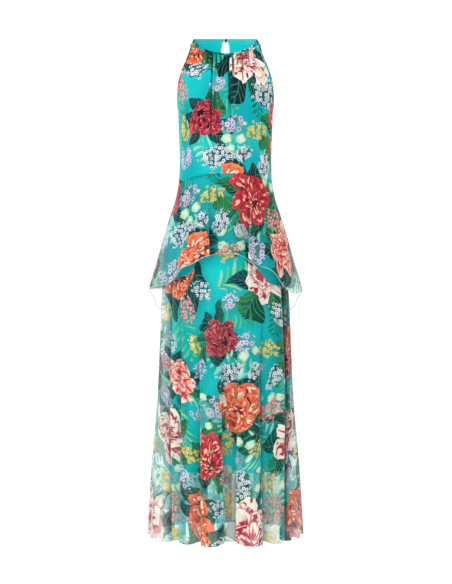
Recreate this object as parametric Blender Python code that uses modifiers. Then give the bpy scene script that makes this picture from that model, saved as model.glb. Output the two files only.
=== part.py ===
"""Sleeveless maxi dress: a halter bodice, a sheer peplum and a long sheer skirt over a shorter lining.

Units are metres, +Z is up and the front faces -Y. The origin is the middle of the neck opening, level with
the top of the shoulders, where the wearer holds the dress up. Every piece of cloth is a thin wall, worn and
hollow. An angle goes round the body from the front centre (0) by the +X side (90) to the back centre (180).
"""

import math
from collections import namedtuple

import bmesh
import bpy
from mathutils import Vector

# Cloth
WALL = 0.0012
BAND_WALL = 0.0014
SEAM_GAP = 0.0004
LAYER_GAP = 0.0006
TRIM_GAP = 0.0007
LINING_TOP_SHARE = 0.25
SQUARENESS = 0.90
DROP_CURVE = 1.25

# Neck: the free edge of the neckband, and the line where the bodice is sewn to it
NECK_HALF_WIDTH, SEWN_HALF_WIDTH = 0.0925, 0.0972
NECK_FRONT, SEWN_FRONT = 0.0720, 0.0752
NECK_BACK, SEWN_BACK = 0.0640, 0.0668
NECK_SIDE_Z, SEWN_SIDE_Z = -0.0060, -0.0110
NECK_FRONT_Z, SEWN_FRONT_Z = -0.0560, -0.0615
NECK_BACK_Z, SEWN_BACK_Z = 0.0080, 0.0020

# Keyhole at the centre back, from the sewn line down
KEYHOLE_TOP_HALF = 0.0062
KEYHOLE_HALF = 0.0130
KEYHOLE_WIDE_Z = -0.0480
KEYHOLE_BOTTOM_Z = -0.0850

# Waist seam and hems
WAIST_HALF_WIDTH, WAIST_FRONT, WAIST_BACK = 0.1385, 0.0980, 0.0800
WAIST_SIDE_Z, WAIST_FRONT_Z, WAIST_BACK_Z = -0.4370, -0.4050, -0.4150
HEM_Z = -1.4560
LINING_HEM_Z = -1.2610

# The bodice's side edge, from the shoulder round the armhole to the underarm and down the side seam.
# Reach is how far forward or back of the side seam the edge lies. Sweep is the angle that a row turns.
SideRow = namedtuple("SideRow", "height half_width front_reach back_reach sweep")
SIDE_LINE = (
    SideRow(-0.0110, 0.0972, 0.0000, 0.0000, 90.0),
    SideRow(-0.0200, 0.0975, 0.0190, 0.0190, 83.0),
    SideRow(-0.0310, 0.0985, 0.0310, 0.0320, 77.0),
    SideRow(-0.0440, 0.1010, 0.0405, 0.0420, 73.0),
    SideRow(-0.0570, 0.1045, 0.0480, 0.0500, 70.0),
    SideRow(-0.0690, 0.1085, 0.0535, 0.0555, 68.0),
    SideRow(-0.0810, 0.1133, 0.0575, 0.0600, 66.0),
    SideRow(-0.0925, 0.1180, 0.0595, 0.0630, 65.0),
    SideRow(-0.1040, 0.1225, 0.0600, 0.0645, 64.5),
    SideRow(-0.1280, 0.1308, 0.0565, 0.0620, 66.0),
    SideRow(-0.1500, 0.1358, 0.0475, 0.0530, 70.0),
    SideRow(-0.1700, 0.1382, 0.0360, 0.0400, 75.5),
    SideRow(-0.1870, 0.1394, 0.0240, 0.0265, 81.0),
    SideRow(-0.2000, 0.1396, 0.0125, 0.0135, 85.5),
    SideRow(-0.2075, 0.1396, 0.0050, 0.0055, 88.5),
    SideRow(-0.2105, 0.1395, 0.0000, 0.0000, 90.0),
    SideRow(-0.2450, 0.1384, 0.0000, 0.0000, 90.0),
    SideRow(-0.2900, 0.1366, 0.0000, 0.0000, 90.0),
    SideRow(-0.3450, 0.1345, 0.0000, 0.0000, 90.0),
    SideRow(-0.3950, 0.1355, 0.0000, 0.0000, 90.0),
    SideRow(-0.4370, 0.1385, 0.0000, 0.0000, 90.0),
)
UNDERARM_ROW = 15

# How far the bodice stands forward and back of the side seams, down its centre lines
CentreRow = namedtuple("CentreRow", "height depth")
FRONT_CENTRE = (
    CentreRow(-0.0615, 0.0752),
    CentreRow(-0.1000, 0.0930),
    CentreRow(-0.1500, 0.1100),
    CentreRow(-0.2000, 0.1185),
    CentreRow(-0.2500, 0.1175),
    CentreRow(-0.3000, 0.1110),
    CentreRow(-0.3500, 0.1035),
    CentreRow(-0.4050, 0.0980),
)
BACK_CENTRE = (
    CentreRow(0.0020, 0.0668),
    CentreRow(-0.0400, 0.0790),
    CentreRow(-0.1000, 0.0920),
    CentreRow(-0.1600, 0.0970),
    CentreRow(-0.2200, 0.0950),
    CentreRow(-0.3000, 0.0865),
    CentreRow(-0.3600, 0.0810),
    CentreRow(-0.4150, 0.0800),
)

# Gathers below the neckband: place across the front (0 centre, 1 armhole), height, and reach down the bodice
Gather = namedtuple("Gather", "place height reach")
GATHERS = (
    Gather(-0.66, 0.0020, 0.25),
    Gather(-0.52, 0.0030, 0.40),
    Gather(-0.39, 0.0030, 0.30),
    Gather(-0.26, 0.0042, 0.95),
    Gather(-0.13, 0.0030, 0.35),
    Gather(0.00, 0.0028, 0.30),
    Gather(0.13, 0.0040, 0.85),
    Gather(0.26, 0.0032, 0.40),
    Gather(0.39, 0.0032, 0.45),
    Gather(0.52, 0.0028, 0.30),
    Gather(0.66, 0.0020, 0.25),
)
GATHER_HALF_WIDTH = 0.062
GATHER_FADE = 1.3

# Levels below the waist seam: how far each layer stands out at the side, front and back
Level = namedtuple("Level", "drop side front back")
PEPLUM_LEVELS = (
    Level(0.000, 0.1385, 0.0980, 0.0800),
    Level(0.010, 0.1408, 0.1005, 0.0840),
    Level(0.044, 0.1470, 0.1080, 0.0960),
    Level(0.080, 0.1575, 0.1155, 0.1090),
    Level(0.150, 0.1765, 0.1290, 0.1290),
    Level(0.220, 0.1950, 0.1400, 0.1430),
    Level(0.306, 0.2170, 0.1500, 0.1550),
    Level(0.420, 0.2350, 0.1590, 0.1650),
)
SKIRT_LEVELS = (
    Level(0.000, 0.1367, 0.0962, 0.0782),
    Level(0.010, 0.1385, 0.0980, 0.0815),
    Level(0.044, 0.1440, 0.1035, 0.0920),
    Level(0.080, 0.1500, 0.1085, 0.1030),
    Level(0.150, 0.1620, 0.1170, 0.1180),
    Level(0.220, 0.1720, 0.1245, 0.1290),
    Level(0.320, 0.1850, 0.1345, 0.1400),
    Level(0.456, 0.1905, 0.1460, 0.1510),
    Level(0.632, 0.1980, 0.1585, 0.1630),
    Level(0.820, 0.2135, 0.1700, 0.1760),
    Level(1.060, 0.2270, 0.1830, 0.1890),
)
LINING_LEVELS = (
    Level(0.000, 0.1349, 0.0944, 0.0764),
    Level(0.010, 0.1365, 0.0958, 0.0790),
    Level(0.044, 0.1405, 0.1005, 0.0885),
    Level(0.080, 0.1440, 0.1045, 0.0980),
    Level(0.150, 0.1490, 0.1115, 0.1110),
    Level(0.320, 0.1520, 0.1230, 0.1265),
    Level(0.560, 0.1570, 0.1320, 0.1360),
    Level(0.870, 0.1640, 0.1430, 0.1460),
)

# The peplum's hem: the height that it reaches at an angle from the front centre
HemRow = namedtuple("HemRow", "angle height")
PEPLUM_HEM = (
    HemRow(-180.0, -0.8020),
    HemRow(-140.0, -0.8100),
    HemRow(-120.0, -0.7900),
    HemRow(-100.0, -0.7550),
    HemRow(-88.0, -0.7360),
    HemRow(-70.0, -0.7300),
    HemRow(-54.0, -0.7260),
    HemRow(-46.0, -0.7200),
    HemRow(-40.0, -0.7040),
    HemRow(-34.0, -0.6800),
    HemRow(-25.0, -0.6670),
    HemRow(-15.0, -0.6440),
    HemRow(0.0, -0.6360),
    HemRow(15.0, -0.6440),
    HemRow(25.0, -0.6700),
    HemRow(34.0, -0.6860),
    HemRow(40.0, -0.7040),
    HemRow(46.0, -0.7250),
    HemRow(54.0, -0.7460),
    HemRow(70.0, -0.7480),
    HemRow(88.0, -0.7420),
    HemRow(100.0, -0.7580),
    HemRow(120.0, -0.7920),
    HemRow(140.0, -0.8120),
    HemRow(180.0, -0.8020),
)

# Folds: middle and half width in degrees, height and sideways lean at the hem, and the drop where they start
Fold = namedtuple("Fold", "angle half_angle height lean start")
PEPLUM_FOLDS = (
    Fold(-152.0, 14.0, 0.016, 0.008, 0.03),
    Fold(-122.0, 15.0, 0.018, 0.010, 0.02),
    Fold(-88.0, 18.0, 0.012, 0.000, 0.02),
    Fold(-57.0, 13.0, 0.014, 0.010, 0.03),
    Fold(-28.0, 14.0, 0.020, 0.026, 0.02),
    Fold(33.0, 14.0, 0.022, -0.029, 0.02),
    Fold(61.0, 12.0, 0.012, -0.008, 0.04),
    Fold(88.0, 18.0, 0.012, 0.000, 0.02),
    Fold(122.0, 15.0, 0.018, -0.010, 0.02),
    Fold(152.0, 14.0, 0.016, -0.008, 0.03),
    Fold(180.0, 13.0, 0.015, 0.000, 0.03),
)
SKIRT_FOLDS = (
    Fold(-165.0, 9.0, 0.021, 0.008, 0.25),
    Fold(-145.0, 10.0, 0.022, 0.012, 0.15),
    Fold(-124.0, 10.0, 0.018, 0.008, 0.30),
    Fold(-104.0, 9.5, 0.014, 0.000, 0.20),
    Fold(-85.0, 9.0, 0.007, 0.000, 0.15),
    Fold(-67.0, 9.5, 0.012, 0.006, 0.15),
    Fold(-48.0, 10.0, 0.020, 0.024, 0.10),
    Fold(-26.0, 8.0, 0.016, 0.006, 0.15),
    Fold(-9.5, 9.0, 0.034, 0.026, 0.40),
    Fold(18.0, 10.5, 0.034, -0.028, 0.35),
    Fold(36.0, 8.0, 0.020, -0.006, 0.30),
    Fold(52.0, 9.0, 0.020, -0.022, 0.10),
    Fold(68.0, 8.0, 0.012, 0.004, 0.20),
    Fold(85.0, 9.0, 0.007, 0.000, 0.15),
    Fold(104.0, 9.5, 0.015, 0.000, 0.20),
    Fold(124.0, 10.0, 0.019, -0.009, 0.25),
    Fold(145.0, 10.0, 0.021, -0.011, 0.15),
    Fold(165.0, 9.0, 0.023, -0.006, 0.30),
    Fold(184.0, 9.0, 0.024, 0.006, 0.20),
)
LINING_FOLDS = (
    Fold(-150.0, 24.0, 0.007, 0.000, 0.20),
    Fold(-95.0, 24.0, 0.004, 0.000, 0.30),
    Fold(-40.0, 20.0, 0.007, 0.000, 0.25),
    Fold(10.0, 18.0, 0.006, 0.000, 0.30),
    Fold(55.0, 20.0, 0.007, 0.000, 0.25),
    Fold(100.0, 24.0, 0.004, 0.000, 0.30),
    Fold(150.0, 24.0, 0.007, 0.000, 0.20),
)

FOLD_GROWTH = 0.8

# Button and loop at the top of the keyhole
BUTTON_RADIUS = 0.0045
BUTTON_X = 0.0012
BUTTON_Z = 0.0050
LOOP_HALF_WIDTH, LOOP_HALF_HEIGHT = 0.0066, 0.0054
LOOP_CORD = 0.0007
BINDING_WIDTH = 0.0070
NEAR_EDGE = 0.97

# Mesh resolution
MERGE_DISTANCE = 0.00001
BUTTON_SIDES, BUTTON_RINGS = 14, 8
LOOP_STEPS, LOOP_SIDES = 22, 6
FRONT_STEPS, BACK_STEPS = 36, 11
PEPLUM_STEPS, PEPLUM_ROWS = 36, 7
SKIRT_STEPS, SKIRT_ROWS = 50, 10
LINING_STEPS, LINING_ROWS = 24, 6

PRINT = (0.02, 0.42, 0.42, 1.0)
PRINT_DARK = (0.03, 0.20, 0.20, 1.0)
LINING = (0.07, 0.66, 0.60, 1.0)
BUTTON = (0.02, 0.06, 0.07, 1.0)


def smooth_at(rows, name, value):
    """A column of a table at a value of its first column, on a smooth curve through the rows."""
    at = rows[0]._fields.index(name)
    rows = sorted(rows)
    value = min(max(value, rows[0][0]), rows[-1][0])
    low = max(i for i in range(len(rows) - 1) if rows[i][0] <= value or i == 0)

    def slope(i):
        before, after = max(i - 1, 0), min(i + 1, len(rows) - 1)
        return (rows[after][at] - rows[before][at]) / (rows[after][0] - rows[before][0])

    span = rows[low + 1][0] - rows[low][0]
    t = (value - rows[low][0]) / span
    start, end = rows[low][at], rows[low + 1][at]
    bend = (1 - t) ** 2 * t * slope(low) - t**2 * (1 - t) * slope(low + 1)
    return start + (end - start) * t * t * (3 - 2 * t) + span * bend


def bump(distance):
    """A soft ridge: 1 in the middle, and 0 from a distance of 1 outwards."""
    return math.cos(distance * math.pi / 2) ** 2 if abs(distance) < 1 else 0.0


def turn(angle):
    """The unit vectors out of the body and round it, at an angle in degrees."""
    radians = math.radians(angle)
    out = Vector((math.sin(radians), -math.cos(radians), 0))
    along = Vector((math.cos(radians), math.sin(radians), 0))
    return out, along


def oval(angle, side, front, back):
    """A point of a rounded section that reaches side, front and back, level with the origin."""
    out, _ = turn(angle)
    depth = front if out.y < 0 else back
    return Vector((side * out.x, math.copysign(depth * abs(out.y) ** SQUARENESS, out.y), 0))


def edge_height(angle, side, front, back):
    """The height of a line round the body, from its height at the sides, front centre and back centre."""
    middle = front if math.cos(math.radians(angle)) > 0 else back
    return side + (middle - side) * abs(math.cos(math.radians(angle))) ** DROP_CURVE


def neck_point(angle):
    point = oval(angle, NECK_HALF_WIDTH, NECK_FRONT, NECK_BACK)
    point.z = edge_height(angle, NECK_SIDE_Z, NECK_FRONT_Z, NECK_BACK_Z)
    return point


def waist_height(angle):
    return edge_height(angle, WAIST_SIDE_Z, WAIST_FRONT_Z, WAIST_BACK_Z)


def bodice_point(row, place, back, inset=0.0):
    """A point of the bodice: row is one of SIDE_LINE, place goes from the centre (0) to an edge (-1 or 1)."""
    side = SIDE_LINE[row]
    sweep = math.radians(side.sweep)
    reach = max(side.back_reach if back else side.front_reach, SEAM_GAP / 2)
    centre_top, centre_low = (SEWN_BACK_Z, WAIST_BACK_Z) if back else (SEWN_FRONT_Z, WAIST_FRONT_Z)
    share = (side.height - SEWN_SIDE_Z) / (WAIST_SIDE_Z - SEWN_SIDE_Z)
    centre_z = centre_top + (centre_low - centre_top) * share
    depth = smooth_at(BACK_CENTRE if back else FRONT_CENTRE, "depth", centre_z)
    flat_end = math.cos(sweep) ** SQUARENESS if sweep < math.pi / 2 - 0.001 else 0.0
    base = (reach - depth * flat_end) / (1 - flat_end)
    flat = max(math.cos(place * sweep), 0.0) ** SQUARENESS
    x = side.half_width / math.sin(sweep) * math.sin(place * sweep)
    y = base + (depth - base) * flat
    z = side.height + (centre_z - side.height) * max(math.cos(place * math.pi / 2), 0.0) ** DROP_CURVE
    out = Vector((math.sin(place * sweep), math.cos(place * sweep), 0))
    point = Vector((x, y, z)) - out * inset
    if not back:
        point += out * gather_height(place, share)
        point.y = -point.y
    return point


def gather_height(place, share):
    """How far the gathers lift the front, from the neckband (share 0) to the waist (share 1)."""
    total = 0.0
    for gather in GATHERS:
        fade = max(1 - share / gather.reach, 0.0) ** GATHER_FADE
        total += gather.height * fade * bump((place - gather.place) / GATHER_HALF_WIDTH)
    return total


def keyhole_half_width(height):
    if height <= KEYHOLE_BOTTOM_Z:
        return 0.0
    if height < KEYHOLE_WIDE_Z:
        share = (KEYHOLE_WIDE_Z - height) / (KEYHOLE_WIDE_Z - KEYHOLE_BOTTOM_Z)
        return KEYHOLE_HALF * math.sqrt(1 - share**2)
    share = (height - KEYHOLE_WIDE_Z) / (SEWN_BACK_Z - KEYHOLE_WIDE_Z)
    return KEYHOLE_TOP_HALF + (KEYHOLE_HALF - KEYHOLE_TOP_HALF) * math.sqrt(max(1 - share**2, 0.0))


def fold_shift(angle, drop, length, folds):
    """How far the folds move the cloth out of the body and round it, at a drop below the waist seam."""
    out_by = round_by = 0.0
    for fold in folds:
        away = (angle - fold.angle + 180) % 360 - 180
        share = max((drop - fold.start) / (length - fold.start), 0.0)
        ridge = bump(away / fold.half_angle)
        out_by += fold.height * share**FOLD_GROWTH * ridge
        round_by += fold.lean * share * ridge
    return out_by, round_by


def layer_point(angle, drop, length, levels, folds):
    """A point of a layer that hangs from the waist seam."""
    sizes = [smooth_at(levels, name, drop) for name in ("side", "front", "back")]
    out, along = turn(angle)
    out_by, round_by = fold_shift(angle, drop, length, folds)
    point = oval(angle, *sizes) + out * out_by + along * round_by
    point.z = waist_height(angle) - drop
    return point


def make_material(name, colour, roughness):
    material = bpy.data.materials.new(name)
    material.use_nodes = True
    shader = material.node_tree.nodes["Principled BSDF"]
    shader.inputs["Base Color"].default_value = colour
    shader.inputs["Roughness"].default_value = roughness
    shader.inputs["Metallic"].default_value = 0.0
    material.diffuse_color = colour
    return material


def finish_object(name, mesh, material, collection):
    mesh.materials.append(material)
    mesh.shade_smooth()
    made = bpy.data.objects.new(name, mesh)
    collection.objects.link(made)
    return made


def cloth(name, strips, material, collection, wall=WALL, ring=False):
    """One wall of cloth. A strip is rows of outer points, top to bottom, and strips join where they meet."""
    shape = bmesh.new()
    for rows in strips:
        points = [[shape.verts.new(point) for point in row] for row in rows]
        for upper, lower in zip(points, points[1:]):
            if ring:
                upper, lower = [*upper, upper[0]], [*lower, lower[0]]
            for a, b, c, d in zip(upper, lower, lower[1:], upper[1:]):
                shape.faces.new((a, b, c, d))
    bmesh.ops.remove_doubles(shape, verts=shape.verts, dist=MERGE_DISTANCE)
    facing_out(shape)
    mesh = bpy.data.meshes.new(name)
    shape.to_mesh(mesh)
    shape.free()
    made = finish_object(name, mesh, material, collection)
    thicken = made.modifiers.new("wall", "SOLIDIFY")
    thicken.thickness = wall
    thicken.offset = -1.0
    thicken.use_even_offset = True
    thicken.use_quality_normals = True
    return made


def facing_out(shape):
    """Turns an open sheet round if most of it faces the body's axis."""
    shape.normal_update()
    outward = 0.0
    for face in shape.faces:
        middle = face.calc_center_median()
        outward += face.calc_area() * face.normal.dot(Vector((middle.x, middle.y, 0)))
    if outward < 0:
        bmesh.ops.reverse_faces(shape, faces=shape.faces)


def front_places():
    return [-1 + 2 * i / FRONT_STEPS for i in range(FRONT_STEPS + 1)]


def make_bodice_front(material, collection):
    rows = [[bodice_point(row, place, False) for place in front_places()] for row in range(len(SIDE_LINE))]
    cloth("bodice_front", [rows], material, collection)


def back_row(row, side, inset):
    """Half a row of the back, from the keyhole's edge or the centre line to the side edge."""
    start = keyhole_place(row)
    places = [start + (1 - start) * i / BACK_STEPS for i in range(BACK_STEPS + 1)]
    return [bodice_point(row, side * place, True, inset) for place in places]


def keyhole_place(row):
    """Where the keyhole's edge lies across a row, as a place between the centre (0) and the side edge (1)."""
    half_width = keyhole_half_width(bodice_point(row, 0.0, True).z)
    sweep = math.radians(SIDE_LINE[row].sweep)
    return math.asin(half_width * math.sin(sweep) / SIDE_LINE[row].half_width) / sweep


def make_back(name, material, collection, inset=0.0, top_share=0.0):
    """The back or its lining. Top share lowers the top edge by that share of the first row."""
    halves = []
    for side in (1, -1):
        rows = [back_row(row, side, inset) for row in range(len(SIDE_LINE))]
        rows[0] = [high.lerp(low, top_share) for high, low in zip(rows[0], rows[1])]
        halves.append([row[::-side] for row in rows])
    cloth(name, halves, material, collection)


def neckband_angles():
    """From the keyhole round the front to the keyhole again, with the bodice front's own points in front."""
    end = math.degrees(math.asin(KEYHOLE_TOP_HALF / NECK_HALF_WIDTH))
    last = 180 - end
    right = [90 + (last - 90) * i / BACK_STEPS for i in range(1, BACK_STEPS + 1)]
    left = [-angle for angle in reversed(right)]
    return left + [90 * place for place in front_places()] + right


def sewn_point(angle):
    point = oval(angle, SEWN_HALF_WIDTH, SEWN_FRONT, SEWN_BACK)
    point.z = edge_height(angle, SEWN_SIDE_Z, SEWN_FRONT_Z, SEWN_BACK_Z)
    return point


def make_neckband(material, collection):
    top = [neck_point(angle) for angle in neckband_angles()]
    sewn = [sewn_point(angle) for angle in neckband_angles()]
    foot = [low + (high - low).normalized() * TRIM_GAP for high, low in zip(top, sewn)]
    cloth("neckband", [[top, foot]], material, collection, BAND_WALL)


def bodice_normal(row, side, back):
    """The direction out of the cloth at an edge of the bodice."""
    edge = bodice_point(row, side, back)
    below = bodice_point(min(row + 1, UNDERARM_ROW + 1), side, back)
    above = bodice_point(max(row - 1, 0), side, back)
    across = edge - bodice_point(row, side * NEAR_EDGE, back)
    normal = (below - above).cross(across).normalized()
    return normal if normal.x * side > 0 else -normal


def make_armhole_binding(name, side, material, collection):
    """A strip that carries the bodice on from its edge towards the middle of the armhole."""
    rows = list(range(UNDERARM_ROW + 1))
    places = [(row, False) for row in rows] + [(row, True) for row in reversed(rows[1:-1])]
    edge = [bodice_point(row, side, back) for row, back in places]
    middle = (edge[0] + edge[UNDERARM_ROW]) / 2
    sewn, free = [], []
    for i, (row, back) in enumerate(places):
        along = edge[(i + 1) % len(edge)] - edge[i - 1]
        normal = bodice_normal(row, side, back)
        if row in (0, UNDERARM_ROW):
            normal = normal + bodice_normal(row, side, True)
        inward = normal.cross(along).normalized()
        if inward.dot(middle - edge[i]) < 0:
            inward = -inward
        sewn.append(edge[i] + inward * TRIM_GAP)
        free.append(edge[i] + inward * (TRIM_GAP + BINDING_WIDTH))
    cloth(name, [[sewn, free]], material, collection, BAND_WALL, ring=True)


def make_hanging_panel(name, back, layer, material, collection):
    """A layer's front or back panel, from the waist seam to its hem."""
    seam_angle = math.degrees(SEAM_GAP / 2 / WAIST_HALF_WIDTH)
    first, last = (90 + seam_angle, 270 - seam_angle) if back else (-90 + seam_angle, 90 - seam_angle)
    grid = []
    for row in range(layer.rows + 1):
        line = []
        for step in range(layer.steps + 1):
            angle = first + (last - first) * step / layer.steps
            length = waist_height(angle) - layer.hem_at(angle)
            drop = SEAM_GAP + (length - SEAM_GAP) * row / layer.rows
            line.append(layer_point(angle, drop, length, layer.levels, layer.folds))
        grid.append(line)
    cloth(name, [grid], material, collection)


def peplum_hem(angle):
    return smooth_at(PEPLUM_HEM, "height", (angle + 180) % 360 - 180)


def skirt_hem(_):
    return HEM_Z


def lining_hem(_):
    return LINING_HEM_Z


Layer = namedtuple("Layer", "levels folds hem_at steps rows")
PEPLUM = Layer(PEPLUM_LEVELS, PEPLUM_FOLDS, peplum_hem, PEPLUM_STEPS, PEPLUM_ROWS)
SKIRT = Layer(SKIRT_LEVELS, SKIRT_FOLDS, skirt_hem, SKIRT_STEPS, SKIRT_ROWS)
SKIRT_LINING = Layer(LINING_LEVELS, LINING_FOLDS, lining_hem, LINING_STEPS, LINING_ROWS)


def make_button(material, collection):
    mesh = bpy.data.meshes.new("button")
    shape = bmesh.new()
    bmesh.ops.create_uvsphere(shape, u_segments=BUTTON_SIDES, v_segments=BUTTON_RINGS, radius=BUTTON_RADIUS)
    shape.to_mesh(mesh)
    shape.free()
    made = finish_object("button", mesh, material, collection)
    made.location = (BUTTON_X, SEWN_BACK, BUTTON_Z)


def make_button_loop(material, collection):
    """A cord loop round the button, flat against the outside of the neckband's ends."""
    mesh = bpy.data.meshes.new("button_loop")
    shape = bmesh.new()
    rings = []
    for i in range(LOOP_STEPS):
        angle = 2 * math.pi * i / LOOP_STEPS
        middle = Vector((LOOP_HALF_WIDTH * math.cos(angle), 0, LOOP_HALF_HEIGHT * math.sin(angle)))
        outward = Vector((math.cos(angle), 0, math.sin(angle)))
        ring = []
        for j in range(LOOP_SIDES):
            around = 2 * math.pi * j / LOOP_SIDES
            offset = outward * math.cos(around) + Vector((0, 1, 0)) * math.sin(around)
            ring.append(shape.verts.new(middle + offset * LOOP_CORD))
        rings.append(ring)
    for ring, following in zip(rings, [*rings[1:], rings[0]]):
        for j in range(LOOP_SIDES):
            k = (j + 1) % LOOP_SIDES
            shape.faces.new((ring[j], following[j], following[k], ring[k]))
    bmesh.ops.recalc_face_normals(shape, faces=shape.faces)
    shape.to_mesh(mesh)
    shape.free()
    made = finish_object("button_loop", mesh, material, collection)
    made.location = (BUTTON_X / 2, SEWN_BACK + SEAM_GAP + 2 * LOOP_CORD, BUTTON_Z)


def clear_scene():
    for found in list(bpy.data.objects):
        bpy.data.objects.remove(found, do_unlink=True)


def main():
    clear_scene()
    dress = bpy.data.collections.new("maxi_dress")
    bpy.context.scene.collection.children.link(dress)
    printed = make_material("printed_chiffon", PRINT, 0.6)
    trim = make_material("printed_trim", PRINT_DARK, 0.6)
    plain = make_material("lining_cloth", LINING, 0.55)
    dark = make_material("button_dark", BUTTON, 0.3)

    make_bodice_front(printed, dress)
    make_back("bodice_back", printed, dress)
    make_back("back_lining", plain, dress, inset=WALL + LAYER_GAP, top_share=LINING_TOP_SHARE)
    make_neckband(trim, dress)
    make_armhole_binding("armhole_binding_left", 1, trim, dress)
    make_armhole_binding("armhole_binding_right", -1, trim, dress)
    make_button(dark, dress)
    make_button_loop(trim, dress)

    for half, back in (("front", False), ("back", True)):
        make_hanging_panel(f"peplum_{half}", back, PEPLUM, printed, dress)
        make_hanging_panel(f"skirt_{half}", back, SKIRT, printed, dress)
        make_hanging_panel(f"skirt_lining_{half}", back, SKIRT_LINING, plain, dress)



main()
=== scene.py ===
"""The looks of a sleeveless maxi dress in printed chiffon, with a peplum and a plain lining.

Metres, +Z up, front towards -Y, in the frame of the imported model. An angle goes round the body from the
front centre (0) by the +X side (90) to the back centre (180). Each cloth piece is a thin closed wall on the
form of the solid that it stands for, with the folds, creases and seams that the solid leaves out. The
flower print is drawn by the shader, from attributes that hold each corner's place in the nearest motif.
"""
import math
import random
from collections import namedtuple
from functools import cache, reduce

import bmesh
import bpy
import numpy as np
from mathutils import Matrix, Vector


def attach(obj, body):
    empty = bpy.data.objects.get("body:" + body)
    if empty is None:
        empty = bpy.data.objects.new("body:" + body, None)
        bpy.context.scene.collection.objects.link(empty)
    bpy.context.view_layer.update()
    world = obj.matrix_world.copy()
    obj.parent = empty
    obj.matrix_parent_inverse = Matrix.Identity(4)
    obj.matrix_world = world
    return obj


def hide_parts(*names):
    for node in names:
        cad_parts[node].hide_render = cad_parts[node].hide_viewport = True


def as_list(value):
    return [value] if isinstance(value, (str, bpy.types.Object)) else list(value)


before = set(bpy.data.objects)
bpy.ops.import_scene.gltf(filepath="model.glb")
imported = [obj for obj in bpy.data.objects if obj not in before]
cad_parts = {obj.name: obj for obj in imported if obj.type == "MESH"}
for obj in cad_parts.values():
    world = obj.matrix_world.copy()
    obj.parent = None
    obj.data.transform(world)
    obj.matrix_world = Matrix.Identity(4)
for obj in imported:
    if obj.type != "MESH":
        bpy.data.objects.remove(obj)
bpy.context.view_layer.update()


def named(kind, *rows):
    """The rows of a table, with named columns."""
    return tuple(kind(*row) for row in rows)


# The cloth's wall, gaps between pieces, and the roundness of sections and seams
CLOTH_WALL = 0.0006
CAD_WALL = 0.0012
SEAM_GAP = 0.0001
LAYER_GAP = 0.0006
TRIM_GAP = 0.0007
SQUARENESS = 0.90
DROP_CURVE = 1.25
TINY = 1e-12

# Neck: the free edge of the neckband, and the line where the bodice is sewn to it
NECK_HALF_WIDTH, SEWN_HALF_WIDTH = 0.0925, 0.0972
NECK_FRONT, SEWN_FRONT = 0.0720, 0.0752
NECK_BACK, SEWN_BACK = 0.0640, 0.0668
SEWN_SIDE_Z = -0.0110
NECK_FRONT_Z, SEWN_FRONT_Z = -0.0560, -0.0615
NECK_BACK_Z, SEWN_BACK_Z = 0.0080, 0.0020

# Keyhole at the centre back, from the sewn line down
KEYHOLE_TOP_HALF = 0.0062
KEYHOLE_HALF = 0.0130
KEYHOLE_WIDE_Z = -0.0480
KEYHOLE_BOTTOM_Z = -0.0850

# Waist seam and hems
WAIST_HALF_WIDTH = 0.1385
WAIST_SIDE_Z, WAIST_FRONT_Z, WAIST_BACK_Z = -0.4370, -0.4050, -0.4150
HEM_Z = -1.4560
LINING_HEM_Z = -1.2610

# The bodice's side edge, from the shoulder round the armhole to the underarm and down the side seam.
# Reach is how far forward or back of the side seam the edge lies. Sweep is the angle that a row turns.
SideRow = namedtuple("SideRow", "height half_width front_reach back_reach sweep")
SIDE_LINE = named(
    SideRow,
    (-0.011, 0.0972, 0, 0, 90), (-0.02, 0.0975, 0.019, 0.019, 83), (-0.031, 0.0985, 0.031, 0.032, 77),
    (-0.044, 0.101, 0.0405, 0.042, 73), (-0.057, 0.1045, 0.048, 0.05, 70),
    (-0.069, 0.1085, 0.0535, 0.0555, 68), (-0.081, 0.1133, 0.0575, 0.06, 66),
    (-0.0925, 0.118, 0.0595, 0.063, 65), (-0.104, 0.1225, 0.06, 0.0645, 64.5),
    (-0.128, 0.1308, 0.0565, 0.062, 66), (-0.15, 0.1358, 0.0475, 0.053, 70),
    (-0.17, 0.1382, 0.036, 0.04, 75.5), (-0.187, 0.1394, 0.024, 0.0265, 81),
    (-0.2, 0.1396, 0.0125, 0.0135, 85.5), (-0.2075, 0.1396, 0.005, 0.0055, 88.5),
    (-0.2105, 0.1395, 0, 0, 90), (-0.245, 0.1384, 0, 0, 90), (-0.29, 0.1366, 0, 0, 90),
    (-0.345, 0.1345, 0, 0, 90), (-0.395, 0.1355, 0, 0, 90), (-0.437, 0.1385, 0, 0, 90),
)
UNDERARM_ROW = 15

# How far the bodice stands forward and back of the side seams, down its centre lines
CentreRow = namedtuple("CentreRow", "height depth")
FRONT_CENTRE = named(
    CentreRow,
    (-0.0615, 0.0752), (-0.1, 0.093), (-0.15, 0.11), (-0.2, 0.1185), (-0.25, 0.1175), (-0.3, 0.111),
    (-0.35, 0.1035), (-0.405, 0.098),
)
BACK_CENTRE = named(
    CentreRow,
    (0.002, 0.0668), (-0.04, 0.079), (-0.1, 0.092), (-0.16, 0.097), (-0.22, 0.095), (-0.3, 0.0865),
    (-0.36, 0.081), (-0.415, 0.08),
)

# Gathers below the neckband: place across the front (0 centre, 1 armhole), height, and reach down the bodice
Gather = namedtuple("Gather", "place height reach")
GATHERS = named(
    Gather,
    (-0.66, 0.002, 0.25), (-0.52, 0.003, 0.4), (-0.39, 0.003, 0.3), (-0.26, 0.0042, 0.95),
    (-0.13, 0.003, 0.35), (0, 0.0028, 0.3), (0.13, 0.004, 0.85), (0.26, 0.0032, 0.4),
    (0.39, 0.0032, 0.45), (0.52, 0.0028, 0.3), (0.66, 0.002, 0.25),
)
GATHER_HALF_WIDTH = 0.062
GATHER_FADE = 1.3

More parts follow.
